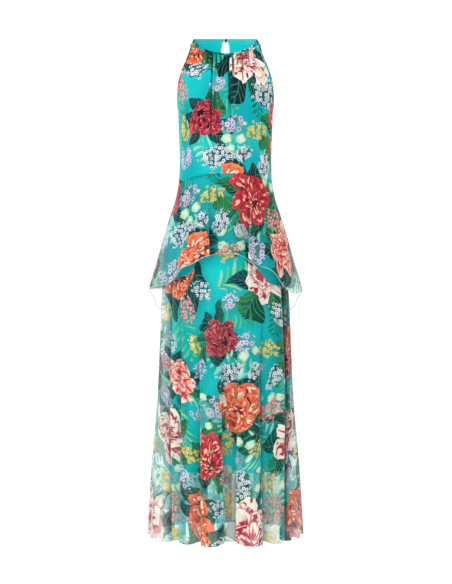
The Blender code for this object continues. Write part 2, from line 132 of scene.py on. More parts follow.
# Levels below the waist seam: how far each layer stands out at the side, front and back
Level = namedtuple("Level", "drop side front back")
PEPLUM_LEVELS = named(
    Level,
    (0, 0.1385, 0.098, 0.08), (0.01, 0.1408, 0.1005, 0.084), (0.044, 0.147, 0.108, 0.096),
    (0.08, 0.1575, 0.1155, 0.109), (0.15, 0.1765, 0.129, 0.129), (0.22, 0.195, 0.14, 0.143),
    (0.306, 0.217, 0.15, 0.155), (0.42, 0.235, 0.159, 0.165),
)
SKIRT_LEVELS = named(
    Level,
    (0, 0.1367, 0.0962, 0.0782), (0.01, 0.1385, 0.098, 0.0815), (0.044, 0.144, 0.1035, 0.092),
    (0.08, 0.15, 0.1085, 0.103), (0.15, 0.162, 0.117, 0.118), (0.22, 0.172, 0.1245, 0.129),
    (0.32, 0.185, 0.1345, 0.14), (0.456, 0.1905, 0.146, 0.151), (0.632, 0.198, 0.1585, 0.163),
    (0.82, 0.2135, 0.17, 0.176), (1.06, 0.227, 0.183, 0.189),
)
LINING_LEVELS = named(
    Level,
    (0, 0.1349, 0.0944, 0.0764), (0.01, 0.1365, 0.0958, 0.079), (0.044, 0.1405, 0.1005, 0.0885),
    (0.08, 0.144, 0.1045, 0.098), (0.15, 0.149, 0.1115, 0.111), (0.32, 0.152, 0.123, 0.1265),
    (0.56, 0.157, 0.132, 0.136), (0.87, 0.164, 0.143, 0.146),
)

# The peplum's hem: the height that it reaches at an angle from the front centre
HemRow = namedtuple("HemRow", "angle height")
PEPLUM_HEM = named(
    HemRow,
    (-180, -0.802), (-140, -0.81), (-120, -0.79), (-100, -0.755), (-88, -0.736), (-70, -0.73),
    (-54, -0.726), (-46, -0.72), (-40, -0.704), (-34, -0.68), (-25, -0.667), (-15, -0.644), (0, -0.636),
    (15, -0.644), (25, -0.67), (34, -0.686), (40, -0.704), (46, -0.725), (54, -0.746), (70, -0.748),
    (88, -0.742), (100, -0.758), (120, -0.792), (140, -0.812), (180, -0.802),
)

# Folds: middle and half width in degrees, height at the hem, and the drop where they start
Fold = namedtuple("Fold", "angle half_angle height start")
PEPLUM_FOLDS = named(
    Fold,
    (-152, 14, 0.016, 0.03), (-122, 15, 0.018, 0.02), (-88, 18, 0.012, 0.02), (-57, 13, 0.014, 0.03),
    (-28, 14, 0.02, 0.02), (33, 14, 0.022, 0.02), (61, 12, 0.012, 0.04), (88, 18, 0.012, 0.02),
    (122, 15, 0.018, 0.02), (152, 14, 0.016, 0.03), (180, 13, 0.015, 0.03),
)
SKIRT_FOLDS = named(
    Fold,
    (-165, 9, 0.021, 0.25), (-145, 10, 0.022, 0.15), (-124, 10, 0.018, 0.3), (-104, 9.5, 0.014, 0.2),
    (-85, 9, 0.007, 0.15), (-67, 9.5, 0.012, 0.15), (-48, 10, 0.02, 0.1), (-26, 8, 0.016, 0.15),
    (-9.5, 9, 0.034, 0.4), (18, 10.5, 0.034, 0.35), (36, 8, 0.02, 0.3), (52, 9, 0.02, 0.1),
    (68, 8, 0.012, 0.2), (85, 9, 0.007, 0.15), (104, 9.5, 0.015, 0.2), (124, 10, 0.019, 0.25),
    (145, 10, 0.021, 0.15), (165, 9, 0.023, 0.3), (184, 9, 0.024, 0.2),
)
LINING_FOLDS = named(
    Fold,
    (-150, 24, 0.007, 0.2), (-95, 24, 0.004, 0.3), (-40, 20, 0.007, 0.25), (10, 18, 0.006, 0.3),
    (55, 20, 0.007, 0.25), (100, 24, 0.004, 0.3), (150, 24, 0.007, 0.2),
)
FOLD_GROWTH = 0.8

# Button and loop at the top of the keyhole
BUTTON_RADIUS = 0.0045
BUTTON_X = 0.0012
BUTTON_Z = 0.0050
LOOP_HALF_WIDTH, LOOP_HALF_HEIGHT = 0.0066, 0.0054
LOOP_CORD = 0.0007
BINDING_WIDTH = 0.0070

# Creases of the bodice front: a soft trough from one point to another, seen from the front
Crease = namedtuple("Crease", "x_top z_top x_low z_low depth half_width")
CREASES = named(
    Crease,
    (-0.036, -0.05, -0.0395, -0.14, 0.01, 0.0024), (-0.0385, -0.09, -0.043, -0.335, 0.0075, 0.0024),
    (0.008, -0.052, 0.0155, -0.3, 0.0075, 0.0024), (-0.1105, -0.19, -0.116, -0.385, 0.0036, 0.007),
    (-0.082, -0.042, -0.086, -0.09, 0.006, 0.0026), (-0.064, -0.046, -0.068, -0.12, 0.008, 0.0026),
    (-0.05, -0.048, -0.053, -0.1, 0.009, 0.0024), (-0.026, -0.052, -0.0275, -0.13, 0.0105, 0.0026),
    (-0.014, -0.053, -0.013, -0.105, 0.009, 0.0024), (-0.003, -0.054, 0, -0.095, 0.008, 0.0024),
    (0.02, -0.052, 0.0235, -0.14, 0.0115, 0.0026), (0.034, -0.051, 0.037, -0.105, 0.0095, 0.0024),
    (0.047, -0.048, 0.053, -0.135, 0.0095, 0.0026), (0.065, -0.045, 0.071, -0.1, 0.008, 0.0026),
    (0.08, -0.04, 0.087, -0.085, 0.006, 0.0026), (0.062, -0.32, 0.056, -0.402, 0.0022, 0.006),
    (-0.015, -0.34, -0.012, -0.402, 0.002, 0.006),
)
BACK_CREASES = named(
    Crease,
    (-0.03, -0.09, -0.036, -0.26, 0.0009, 0.007), (0.034, -0.1, 0.042, -0.28, 0.0009, 0.007),
    (-0.07, -0.2, -0.078, -0.39, 0.0009, 0.008), (0.075, -0.21, 0.08, -0.4, 0.0009, 0.008),
)

# Pleats of a hanging panel: where the edge starts and where it ends across, which side lies over the other
# (1 the -X side, -1 the +X side), how far the cloth turns back under the edge at the hem, how far the edge
# stands forward, the drop where it starts, and the painted shadow on the cloth that comes out from under it
Pleat = namedtuple("Pleat", "x_top x over tuck depth start dark")
SKIRT_FRONT_PLEATS = named(
    Pleat,
    (-0.152, -0.153, -1, 0.008, 0.01, 0.06, 0.7), (-0.126, -0.132, -1, 0.02, 0.018, 0.18, 0.3),
    (-0.081, -0.07, -1, 0.025, 0.022, 0.24, 0.3), (-0.013, -0.001, 1, 0.024, 0.022, 0.34, 0.35),
    (0.03, 0.026, -1, 0.04, 0.022, 0.4, 0.2), (0.096, 0.104, 1, 0.012, 0.016, 0.3, 0.75),
    (0.16, 0.17, 1, 0.012, 0.018, 0.06, 1.15),
)
SKIRT_BACK_PLEATS = named(
    Pleat,
    (-0.15, -0.155, -1, 0.016, 0.018, 0.25, 0.3), (-0.08, -0.085, 1, 0.022, 0.02, 0.32, 0.3),
    (-0.045, -0.04, -1, 0.026, 0.022, 0.38, 0.3), (0.018, 0.022, 1, 0.026, 0.022, 0.38, 0.3),
    (0.08, 0.085, -1, 0.02, 0.02, 0.3, 0.4), (0.13, 0.14, 1, 0.018, 0.018, 0.25, 0.3),
)
PEPLUM_FRONT_PLEATS = named(
    Pleat,
    (-0.05, -0.047, 1, 0.018, 0.015, 0.02, 0.3), (0.07, 0.068, -1, 0.02, 0.017, 0.02, 0.4),
)
PEPLUM_BACK_PLEATS = named(
    Pleat,
    (-0.085, -0.09, -1, 0.014, 0.012, 0.04, 0.25), (-0.028, -0.03, 1, 0.016, 0.014, 0.03, 0.25),
    (0.036, 0.04, -1, 0.016, 0.014, 0.03, 0.25), (0.092, 0.1, 1, 0.014, 0.012, 0.04, 0.25),
)
# The crease depth at which the painted shade in a crease's trough is darkest
FULL_SHADE_CREASE_DEPTH = 0.0100
CREASE_LEAD, CREASE_FADE_IN, CREASE_FADE_OUT = 0.06, 0.16, 0.55
RIDGE_SHARE, RIDGE_PLACE, RIDGE_WIDTH = 0.40, 2.2, 1.3
UNPLEATED = 0.4
PLEAT_GROWTH = 1.15
PLEAT_REAR = 0.5
TURN_SPAN = 0.010
PLEAT_SPREAD = 0.45
PLEAT_SOFTENING = 3
SEAM_SWELL_REACH = 0.004
HEM_LIFT, HEM_FOLD = 0.007, 0.012
LINING_FULLNESS, LINING_SWAY_DROP = 0.12, 0.25
# Widths of the painted shadow under a pleat's edge (wider for a darker pleat) and of the painted highlight
# along the edge, and how that painted shadow grows in down the panel and falls off across
PLEAT_SHADOW, DARK_PLEAT_SHADOW, PLEAT_HIGHLIGHT_WIDTH = 0.0045, 0.0085, 0.0030
SHADOW_START, SHADOW_FALL = 8.0, 1.5

# Parts of the sheer panels that hang in fewer layers: their limits across and in height, how dense they are,
# and over how far across that changes
Thin = namedtuple("Thin", "left right top bottom density side")
SKIRT_THIN = named(
    Thin,
    (-0.3, -0.166, -0.6, -1.6, 0.34, 0.006), (0.001, 0.027, -1.2, -1.6, 0.2, 0.0012),
    (0.118, 0.15, -1.2, -1.6, 0.55, 0.0012), (0.192, 0.3, -0.6, -1.6, 0.5, 0.01),
)
PEPLUM_THIN = named(
    Thin,
    (-0.3, -0.18, -0.45, -1, 0.5, 0.04), (0.185, 0.3, -0.45, -1, 0.5, 0.04),
)
PEPLUM_CORNERS_THIN = named(
    Thin,
    (-0.3, -0.15, -0.735, -1, 0.12, 0.0012), (0.15, 0.3, -0.735, -1, 0.25, 0.0012),
)
THIN_END = 0.010

# Mesh resolution
BODICE_COLUMNS, BODICE_STEP = 300, 0.0040
BACK_COLUMNS = 84
SKIRT_COLUMNS, SKIRT_ROWS = 340, 138
PEPLUM_COLUMNS, PEPLUM_ROWS = 240, 84
LINING_COLUMNS, LINING_ROWS = 150, 50
BAND_COLUMNS = 420
MERGE_DISTANCE = 1e-6

# The camera stands in front of the middle of the dress, level with it
IMAGE_HEIGHT = 584
CAMERA_DISTANCE = 4.2
CAMERA_HEIGHT = -0.746
CAMERA_X = 0.0015
FOCAL_PIXELS = 1428
SENSOR = 36.0
FLOOR_Z = -1.625


def smooth_curve(given, wanted, values):
    """Reads a smooth curve through the points (given, wanted) at values."""
    values = np.clip(values, given[0], given[-1])
    low = np.clip(np.searchsorted(given, values, side="right") - 1, 0, len(given) - 2)
    place = np.arange(len(given))
    before, after = np.maximum(place - 1, 0), np.minimum(place + 1, len(given) - 1)
    slope = (wanted[after] - wanted[before]) / (given[after] - given[before])
    span = given[low + 1] - given[low]
    t = (values - given[low]) / span
    bend = (1 - t) ** 2 * t * slope[low] - t**2 * (1 - t) * slope[low + 1]
    return wanted[low] + (wanted[low + 1] - wanted[low]) * t * t * (3 - 2 * t) + span * bend


def smooth_at(rows, name, values):
    """A column of a table at values of its first column."""
    rows = sorted(rows)
    given = np.array([row[0] for row in rows])
    return smooth_curve(given, np.array([getattr(row, name) for row in rows]), values)


def bump(distance):
    """A soft ridge: 1 in the middle, and 0 from a distance of 1 outwards."""
    return np.where(np.abs(distance) < 1, np.cos(distance * math.pi / 2) ** 2, 0.0)


def ease(share):
    """0 to 1 on a smooth curve."""
    share = np.clip(share, 0.0, 1.0)
    return share * share * (3 - 2 * share)


def stack(x, y, z):
    return np.stack(np.broadcast_arrays(x, y, z), -1)


def oval(angle, side, front, back):
    """Points of a rounded section that reaches side, front and back, level with the origin."""
    sine, cosine = np.sin(np.radians(angle)), -np.cos(np.radians(angle))
    depth = np.where(cosine < 0, front, back)
    return stack(side * sine, np.sign(cosine) * depth * np.abs(cosine) ** SQUARENESS, 0.0)


def edge_height(angle, side, front, back):
    """The height of a line round the body, from its height at the sides, front centre and back centre."""
    cosine = np.cos(np.radians(angle))
    return side + (np.where(cosine > 0, front, back) - side) * np.abs(cosine) ** DROP_CURVE


def waist_height(angle):
    return edge_height(angle, WAIST_SIDE_Z, WAIST_FRONT_Z, WAIST_BACK_Z)


def grid_faces(rows, columns, ring=False, closed=False, first=0):
    """Quads of a grid of points. A ring joins the last column to the first, and closed the last row."""
    number = first + np.arange(rows * columns).reshape(rows, columns)
    if ring:
        number = np.concatenate([number, number[:, :1]], 1)
    if closed:
        number = np.concatenate([number, number[:1]])
    return np.stack([number[:-1, :-1], number[1:, :-1], number[1:, 1:], number[:-1, 1:]], -1).reshape(-1, 4)


def rod_faces(rows, columns, closed=False, first=0):
    """Faces round a row of cross-sections, with one more at both ends unless it is closed."""
    faces = grid_faces(rows, columns, True, closed, first).tolist()
    if not closed:
        last = first + (rows - 1) * columns
        faces += [list(range(first + columns - 1, first - 1, -1)), list(range(last, last + columns))]
    return faces


def unit(vectors):
    return vectors / np.maximum(np.linalg.norm(vectors, axis=-1, keepdims=True), TINY)


def whole_turn(count):
    """Angles evenly round a circle."""
    return np.linspace(0, 2 * math.pi, count, endpoint=False)


def lengths_along(path):
    """How far along a path each of its points is."""
    return np.concatenate([[0.0], np.cumsum(np.linalg.norm(np.diff(path, axis=0), axis=1))])


def read_along(at, marks, values):
    """The columns of values, which lie at the marks, read at other places."""
    return np.stack([np.interp(at, marks, held) for held in values.T], -1)


# Bodice


def side_line(name, lines):
    """A column of SIDE_LINE at rows counted with fractions, as a column of numbers."""
    given = np.arange(len(SIDE_LINE), dtype=float)
    return smooth_curve(given, np.array([getattr(row, name) for row in SIDE_LINE]), lines)[:, None]


def crease_lift(x, z, creases):
    """How far the creases move the cloth: a trough with a soft ridge beside it."""
    lift = np.zeros(np.broadcast(x, z).shape)
    for crease in creases:
        share = (z - crease.z_top) / (crease.z_low - crease.z_top)
        away = (x - crease.x_top - (crease.x_low - crease.x_top) * share) / crease.half_width
        fade = ease((share + CREASE_LEAD) / CREASE_FADE_IN) * ease((1.0 - share) / CREASE_FADE_OUT)
        ridge = RIDGE_SHARE * np.exp(-((away - RIDGE_PLACE) / RIDGE_WIDTH) ** 2)
        lift += crease.depth * fade * (ridge - np.exp(-(away**2)))
    return lift


def gather_lift(places, share):
    total = 0.0
    for gather in GATHERS:
        fade = np.maximum(1 - share / gather.reach, 0.0) ** GATHER_FADE
        total = total + gather.height * fade * bump((places - gather.place) / GATHER_HALF_WIDTH)
    return total


def bodice_surface(lines, places, back, inset=0.0):
    """Points of the bodice. Lines are rows of SIDE_LINE with fractions, and places go from -1 to 1."""
    height, half_width = side_line("height", lines), side_line("half_width", lines)
    sweep = np.radians(side_line("sweep", lines))
    reach = np.maximum(side_line("back_reach" if back else "front_reach", lines), SEAM_GAP / 2)
    centre_top, centre_low = (SEWN_BACK_Z, WAIST_BACK_Z) if back else (SEWN_FRONT_Z, WAIST_FRONT_Z)
    share = (height - SEWN_SIDE_Z) / (WAIST_SIDE_Z - SEWN_SIDE_Z)
    centre_z = centre_top + (centre_low - centre_top) * share
    depth = smooth_at(BACK_CENTRE if back else FRONT_CENTRE, "depth", centre_z)
    flat_end = np.maximum(np.cos(sweep), 0.0) ** SQUARENESS
    base = (reach - depth * flat_end) / (1 - flat_end)
    x = half_width / np.sin(sweep) * np.sin(places * sweep)
    y = base + (depth - base) * np.maximum(np.cos(places * sweep), 0.0) ** SQUARENESS
    z = height + (centre_z - height) * np.maximum(np.cos(places * math.pi / 2), 0.0) ** DROP_CURVE
    lift = crease_lift(x, z, BACK_CREASES if back else CREASES) if inset == 0.0 else 0.0
    if not back:
        lift = lift + gather_lift(places, share)
    out = stack(np.sin(places * sweep), np.cos(places * sweep), 0.0)
    points = stack(x, y, z) + out * np.expand_dims(lift - inset, -1)
    if not back:
        points[..., 1] *= -1
    return points


def bodice_lines():
    """Rows of SIDE_LINE with fractions, evenly spaced in height."""
    heights = np.array([row.height for row in SIDE_LINE])
    count = int((heights[0] - heights[-1]) / BODICE_STEP)
    wanted = np.linspace(heights[0], heights[-1], count + 1)
    return np.interp(-wanted, -heights, np.arange(len(heights), dtype=float))


def keyhole_half_width(height):
    """Half the keyhole's width at a height, 0 below it."""
    low = np.clip((KEYHOLE_WIDE_Z - height) / (KEYHOLE_WIDE_Z - KEYHOLE_BOTTOM_Z), 0.0, 1.0)
    high = np.clip((height - KEYHOLE_WIDE_Z) / (SEWN_BACK_Z - KEYHOLE_WIDE_Z), 0.0, 1.0)
    top = KEYHOLE_TOP_HALF + (KEYHOLE_HALF - KEYHOLE_TOP_HALF) * np.sqrt(1 - high**2)
    return np.where(height < KEYHOLE_WIDE_Z, KEYHOLE_HALF * np.sqrt(1 - low**2), top)


def cloth_places(points, middle):
    """Each grid point's place on the flat cloth: metres along its row from a column, and metres down."""
    across = np.linalg.norm(np.diff(points, axis=1), axis=2)
    across = np.concatenate([np.zeros((len(points), 1)), np.cumsum(across, 1)], 1)
    across -= across[:, middle : middle + 1]
    down = lengths_along(points[:, middle])[:, None]
    return np.stack([across, np.broadcast_to(down, across.shape)], -1)


def bodice_front_sheet():
    places = np.linspace(-1, 1, BODICE_COLUMNS + 1)[None, :]
    points = bodice_surface(bodice_lines(), places, False)
    # Painted shade in the creases' troughs: none on smooth cloth, darkest where a crease is deepest
    dark = np.clip(-crease_lift(points[..., 0], points[..., 2], CREASES) / FULL_SHADE_CREASE_DEPTH, 0.0, 1.0)
    places = np.concatenate([cloth_places(points, BODICE_COLUMNS // 2), stack(1.0, dark, 0.0)], -1)
    return points, places, grid_faces(*points.shape[:2])


def bodice_back_halves(inset=0.0, top_share=0.0):
    """The two halves of the back, joined below the keyhole."""
    lines = bodice_lines()
    centre = bodice_surface(lines, np.zeros((1, 1)), True)[:, 0, 2]
    sweep = np.radians(side_line("sweep", lines))[:, 0]
    half_width = side_line("half_width", lines)[:, 0]
    start = np.arcsin(keyhole_half_width(centre) * np.sin(sweep) / half_width) / sweep
    parts, cloths, faces = [], [], []
    for side in (1, -1):
        places = side * (start[:, None] + (1 - start[:, None]) * np.linspace(0, 1, BACK_COLUMNS + 1)[None, :])
        points = bodice_surface(lines, places, True, inset)
        points[0] = points[0] + (points[1] - points[0]) * top_share
        cloth = cloth_places(points, 0) * (side, 1)
        cloth[..., 0] += points[:, :1, 0]
        faces.append(grid_faces(*points.shape[:2], first=sum(map(len, parts)))[:, ::-side])
        parts.append(points.reshape(-1, 3))
        cloths.append(cloth.reshape(-1, 2))
    return np.concatenate(parts), np.concatenate(cloths), np.concatenate(faces)


# Peplum, skirt and lining


def degrees_at(x, side):
    return np.degrees(np.arcsin(np.clip(x / side, -0.999, 0.999)))


def pleat_place(pleat, side, drop, length):
    """Where a pleat's edge hangs across: straight down, but further in where the layer is narrow above."""
    x = pleat.x_top + (pleat.x - pleat.x_top) * np.clip((drop - pleat.start) / (length - pleat.start), 0, 1)
    share = abs(pleat.x) / side[-1]
    return np.sign(x) * np.minimum(np.abs(x), side * (share + (1 - share) * PLEAT_SPREAD))


def pleat_keys(pleats, drop, length, side, edge_angle):
    """The angles and outward shifts, row by row, of the points where the cloth turns."""
    angles, outs = [np.full(len(drop), -edge_angle)], [np.zeros(len(drop))]
    for pleat in pleats:
        grown = ease((drop - pleat.start) / (length - pleat.start) * PLEAT_GROWTH)
        flat = UNPLEATED * pleat.tuck * (1 - grown) / 2
        place = pleat_place(pleat, side, drop, length)
        raised = pleat.depth * grown
        edge = degrees_at(place - pleat.over * flat, side + raised)
        rear = degrees_at(place + pleat.over * (flat - pleat.tuck * grown), side)
        pair = [(edge, raised), (rear, -PLEAT_REAR * raised)]
        for angle, out in pair[:: pleat.over]:
            angles.append(angle)
            outs.append(out)
    return np.array([*angles, np.full(len(drop), edge_angle)]), np.array([*outs, np.zeros(len(drop))])


def fold_shifts(angle, down, full, folds):
    """How far the soft folds stand out."""
    out = np.zeros_like(angle)
    for fold in folds:
        away = (angle - fold.angle + 180) % 360 - 180
        grown = np.maximum((down - fold.start) / (full - fold.start), 0.0)
        out += fold.height * grown**FOLD_GROWTH * bump(away / fold.half_angle)
    return out


def hanging_surface(layer, back):
    """Points of a panel that hangs from the waist seam, with its pleats and its soft folds."""
    share = np.linspace(0, 1, layer.rows + 1)
    drop = SEAM_GAP + (layer.length - SEAM_GAP) * share
    side, depth = (smooth_at(layer.levels, name, drop) for name in ("side", "back" if back else "front"))
    edge_angle = 90 - math.degrees(SEAM_GAP / 2 / WAIST_HALF_WIDTH)
    pleats = layer.back_pleats if back else layer.front_pleats
    angles, outs = pleat_keys(pleats, drop, layer.length, side, edge_angle)
    hem = oval(angles[:, -1], side[-1], depth[-1], depth[-1])
    spans = TURN_SPAN + np.hypot(np.linalg.norm(np.diff(hem, axis=0), axis=1), np.diff(outs[:, -1]))
    marks = np.concatenate([[0.0], np.cumsum(spans)])
    wanted = np.linspace(0, marks[-1], layer.columns + 1)
    angle, out = (read_along(wanted, marks, keys).T for keys in (angles, outs))
    if back:
        angle = 180 - angle
    full = waist_height(angle) - layer.hem_at(angle)
    down = SEAM_GAP + (full - SEAM_GAP) * share[:, None]
    out = out + layer.fold_share * fold_shifts(angle, down, full, layer.folds)
    out += layer.seam_swell * np.exp(-((down / SEAM_SWELL_REACH) ** 2))
    points = oval(angle, *(smooth_at(layer.levels, name, down) for name in ("side", "front", "back")))
    radians = np.radians(angle)
    points += stack(np.sin(radians), -np.cos(radians), 0.0) * out[..., None]
    points[..., 2] = waist_height(angle) - down
    for _ in range(PLEAT_SOFTENING):
        points[:, 1:-1] = (points[:, :-2] + 2 * points[:, 1:-1] + points[:, 2:]) / 4
    if layer is SKIRT_LINING and not back:
        lining_sway(points, down)
    middle = int(np.argmin(np.abs(points[-1, :, 0])))
    thin = layer.thin + (PEPLUM_CORNERS_THIN if layer is PEPLUM and back else ())
    # The painted shadow under the pleats' edges and the painted highlight along them
    turned = pleat_painted_light(points, pleats, marks, wanted, (drop / layer.length)[:, None])
    places = np.concatenate([cloth_places(points, middle), density(points, thin)[..., None], turned], -1)
    return points, places, grid_faces(layer.rows + 1, layer.columns + 1)


def density(points, bands):
    """How dense the sheer cloth looks at each point: 1, and less in the bands."""
    x, z = points[..., 0], points[..., 2]
    total = np.ones(x.shape)
    for band in bands:
        across = ease((x - band.left) / band.side + 0.5) * ease((band.right - x) / band.side + 0.5)
        down = ease((band.top - z) / THIN_END) * ease((z - band.bottom) / THIN_END)
        total *= 1 - (1 - band.density) * across * down
    return total


def pleat_painted_light(points, pleats, marks, wanted, share):
    """The painted shadow on the cloth where it comes out from under a pleat's edge, and the painted highlight
    along the edge.
    """
    x = points[..., 0]
    dark, light = np.zeros(x.shape), np.zeros(x.shape)
    for number, pleat in enumerate(pleats):
        edge_mark, rear_mark = marks[1 + 2 * number : 3 + 2 * number][:: pleat.over]
        under = (wanted - rear_mark) * pleat.over > 0
        across = x * pleat.over
        away = across - np.where(under, -np.inf, across).max(1)[:, None]
        grown = ease((share - pleat.start) * SHADOW_START)
        reach = PLEAT_SHADOW + DARK_PLEAT_SHADOW * pleat.dark
        shadow = np.exp(-((np.maximum(away, 0.0) / reach) ** SHADOW_FALL)) * ease(away / reach + 1.0)
        dark = np.maximum(dark, pleat.dark * grown * np.where(under, shadow, 0.0))
        above = (wanted - edge_mark) * pleat.over <= 0
        light = np.maximum(light, grown * np.where(above, np.exp(-((away / PLEAT_HIGHLIGHT_WIDTH) ** 2)), 0.0))
    return np.stack([np.minimum(dark, 1.0), light], -1)


def lining_sway(points, drop):
    """The lining hangs fuller on the +X side."""
    grown = ease(drop / LINING_SWAY_DROP)
    x = points[..., 0]
    points[..., 0] = np.where(x > 0, x * (1 + LINING_FULLNESS * grown), x)


def peplum_hem(angle):
    return smooth_at(PEPLUM_HEM, "height", (angle + 180) % 360 - 180)


def skirt_hem(angle):
    """The hem hangs lowest where a fold stands out."""
    standing = fold_shifts(angle, np.ones_like(angle), 1.0, SKIRT_FOLDS)
    return HEM_Z + HEM_LIFT * (1 - np.minimum(standing / HEM_FOLD, 1.0))


def lining_hem(angle):
    return np.full_like(angle, LINING_HEM_Z)


Layer = namedtuple(
    "Layer", "levels folds fold_share front_pleats back_pleats thin hem_at length seam_swell columns rows"
)
PEPLUM = Layer(
    PEPLUM_LEVELS, PEPLUM_FOLDS, 0.75, PEPLUM_FRONT_PLEATS, PEPLUM_BACK_PLEATS, PEPLUM_THIN, peplum_hem,
    0.31, 0.0010, PEPLUM_COLUMNS, PEPLUM_ROWS,
)
SKIRT = Layer(
    SKIRT_LEVELS, SKIRT_FOLDS, 0.80, SKIRT_FRONT_PLEATS, SKIRT_BACK_PLEATS, SKIRT_THIN, skirt_hem,
    WAIST_FRONT_Z - HEM_Z, 0.0, SKIRT_COLUMNS, SKIRT_ROWS,
)
SKIRT_LINING = Layer(
    LINING_LEVELS, LINING_FOLDS, 1.0, (), (), (), lining_hem,
    WAIST_FRONT_Z - LINING_HEM_Z, 0.0, LINING_COLUMNS, LINING_ROWS,
)


# Shells


def quad_normals(points, quads):
    a, b, c, d = (points[quads[:, i]] for i in range(4))
    return np.cross(c - a, d - b)


def outward(points, quads):
    """The quads, turned round if most of them face the body's axis."""
    facing = (quad_normals(points, quads) * points[quads].mean(1))[:, :2].sum()
    return quads if facing > 0 else quads[:, ::-1]


def vertex_normals(points, quads):
    normal = quad_normals(points, quads)
    total = np.zeros_like(points)
    for i in range(4):
        np.add.at(total, quads[:, i], normal)
    return unit(total)


def boundary_edges(quads):
    """The edges that only one quad has, in that quad's direction."""
    edges = np.concatenate([quads[:, [i, (i + 1) % 4]] for i in range(4)])
    _, first, count = np.unique(np.sort(edges, axis=1), axis=0, return_index=True, return_counts=True)
    return edges[first[count == 1]]


def weld(points, quads):
    """Joins points that share a place."""
    places = np.round(points / MERGE_DISTANCE).astype(np.int64)
    _, first, number = np.unique(places, axis=0, return_index=True, return_inverse=True)
    return points[first], number.reshape(-1)[quads]


def make_mesh(name, points, faces, materials, slots=None):
    """A smooth mesh. Without slots it is all of one material, and its faces are turned outwards."""
    mesh = bpy.data.meshes.new(name)
    mesh.from_pydata(points.reshape(-1, 3).tolist(), [], faces)
    for material in materials:
        mesh.materials.append(material)
    if slots is None:
        shape = bmesh.new()
        shape.from_mesh(mesh)
        bmesh.ops.recalc_face_normals(shape, faces=shape.faces)
        shape.to_mesh(mesh)
        shape.free()
    else:
        mesh.polygons.foreach_set("material_index", np.asarray(slots, np.int32))
    mesh.shade_smooth()
    made = bpy.data.objects.new(name, mesh)
    bpy.context.scene.collection.objects.link(made)
    return made


def write_corners(made, name, values):
    """Stores a vector for each face corner. Those that the values don't reach are far from any motif."""
    held = np.full((len(made.data.loops), 3), FAR, np.float32)
    held[: values.size // 3] = values.reshape(-1, 3)
    made.data.attributes.new(name, "FLOAT_VECTOR", "CORNER").data.foreach_set("vector", held.ravel())


def make_cloth(name, surface, plain=None, reverse=None, bare=None):
    """A closed wall of cloth, printed or of a plain material.

    surface holds its outer points, their places on the flat cloth, and its quads. A place is metres across
    and down, and may have the density and the painted shade and painted highlight of pleats and creases
    after it. Sheer cloth has a reverse, and bare tells which of its faces have no motifs.
    """
    points, places, quads = surface
    points, numbers = weld(points.reshape(-1, 3), quads)
    turned = outward(points, numbers)
    corners = places.reshape(-1, places.shape[-1])[quads if turned is numbers else quads[:, ::-1]]
    inner = points - vertex_normals(points, turned) * CLOTH_WALL
    edge, count = boundary_edges(turned), len(points)
    rim = np.stack([edge[:, 1], edge[:, 0], edge[:, 0] + count, edge[:, 1] + count], -1)
    faces = np.concatenate([turned, turned[:, ::-1] + count, rim])
    slots = np.zeros(len(faces), int)
    if plain:
        return make_mesh(f"{name}_cloth", np.concatenate([points, inner]), faces.tolist(), [plain], slots)
    corners[..., :2] += PRINT_SHIFTS[name]
    materials, slots[: 2 * len(turned)], near = choose_print(corners, reverse, bare)
    made = make_mesh(f"{name}_cloth", np.concatenate([points, inner]), faces.tolist(), materials, slots)
    rim_corners = np.zeros((len(rim), *corners.shape[1:]))
    rim_corners[..., 2:3] = 1.0
    corners = np.concatenate([corners, corners[:, ::-1], rim_corners])
    write_corners(made, "cloth_place", stack(corners[..., 0], corners[..., 1], 0.0))
    # The fold attribute: the density, the painted shade under pleats and in creases, and the painted
    # highlight along pleat edges
    if corners.shape[-1] > 2:
        write_corners(made, "fold", corners[..., 2:])
    for source, held in near.items():
        write_corners(made, source, np.concatenate([held, held[:, ::-1]]))
    return made


# Shader arithmetic


def arithmetic(operation):
    """A method of Wire that adds a Math node."""
    return lambda wire, *others: wire.math(operation, *others)


class Wire:
    """An output of a shader node, with arithmetic that adds Math nodes to its tree."""

    def __init__(self, tree, socket):
        self.tree = tree
        self.socket = socket

    def beside(self, output):
        """Another output of the same node."""
        return Wire(self.tree, self.socket.node.outputs[output])

    def math(self, operation, *others):
        made = self.tree.nodes.new("ShaderNodeMath")
        made.operation = operation
        for place, value in enumerate((self, *others)):
            plug(self.tree, made.inputs[place], value)
        return Wire(self.tree, made.outputs[0])

    __add__ = __radd__ = arithmetic("ADD")
    __sub__ = arithmetic("SUBTRACT")
    __mul__ = __rmul__ = arithmetic("MULTIPLY")
    __truediv__ = arithmetic("DIVIDE")
    power = arithmetic("POWER")
    modulo = arithmetic("FLOORED_MODULO")
    largest = arithmetic("MAXIMUM")
    arctan2 = arithmetic("ARCTAN2")
    abs = arithmetic("ABSOLUTE")
    sign = arithmetic("SIGN")
    cos = arithmetic("COSINE")
    sin = arithmetic("SINE")
    floor = arithmetic("FLOOR")
    fract = arithmetic("FRACT")

    def __neg__(self):
        return self * -1.0

    def __rsub__(self, other):
        return -self + other

    def step(self, start, end):
        """0 at start and 1 at end, on a smooth curve between them."""
        inputs = {"Value": self, "From Min": start, "From Max": end}
        return Graph(self.tree).node("ShaderNodeMapRange", 0, {"interpolation_type": "SMOOTHSTEP"}, inputs)


def plug(tree, socket, value):
    """Gives an input a wire or a constant."""
    if isinstance(value, Wire):
        tree.links.new(value.socket, socket)
    else:
        socket.default_value = value


def wire_length(x, y):
    return (x * x + y * y).power(0.5)


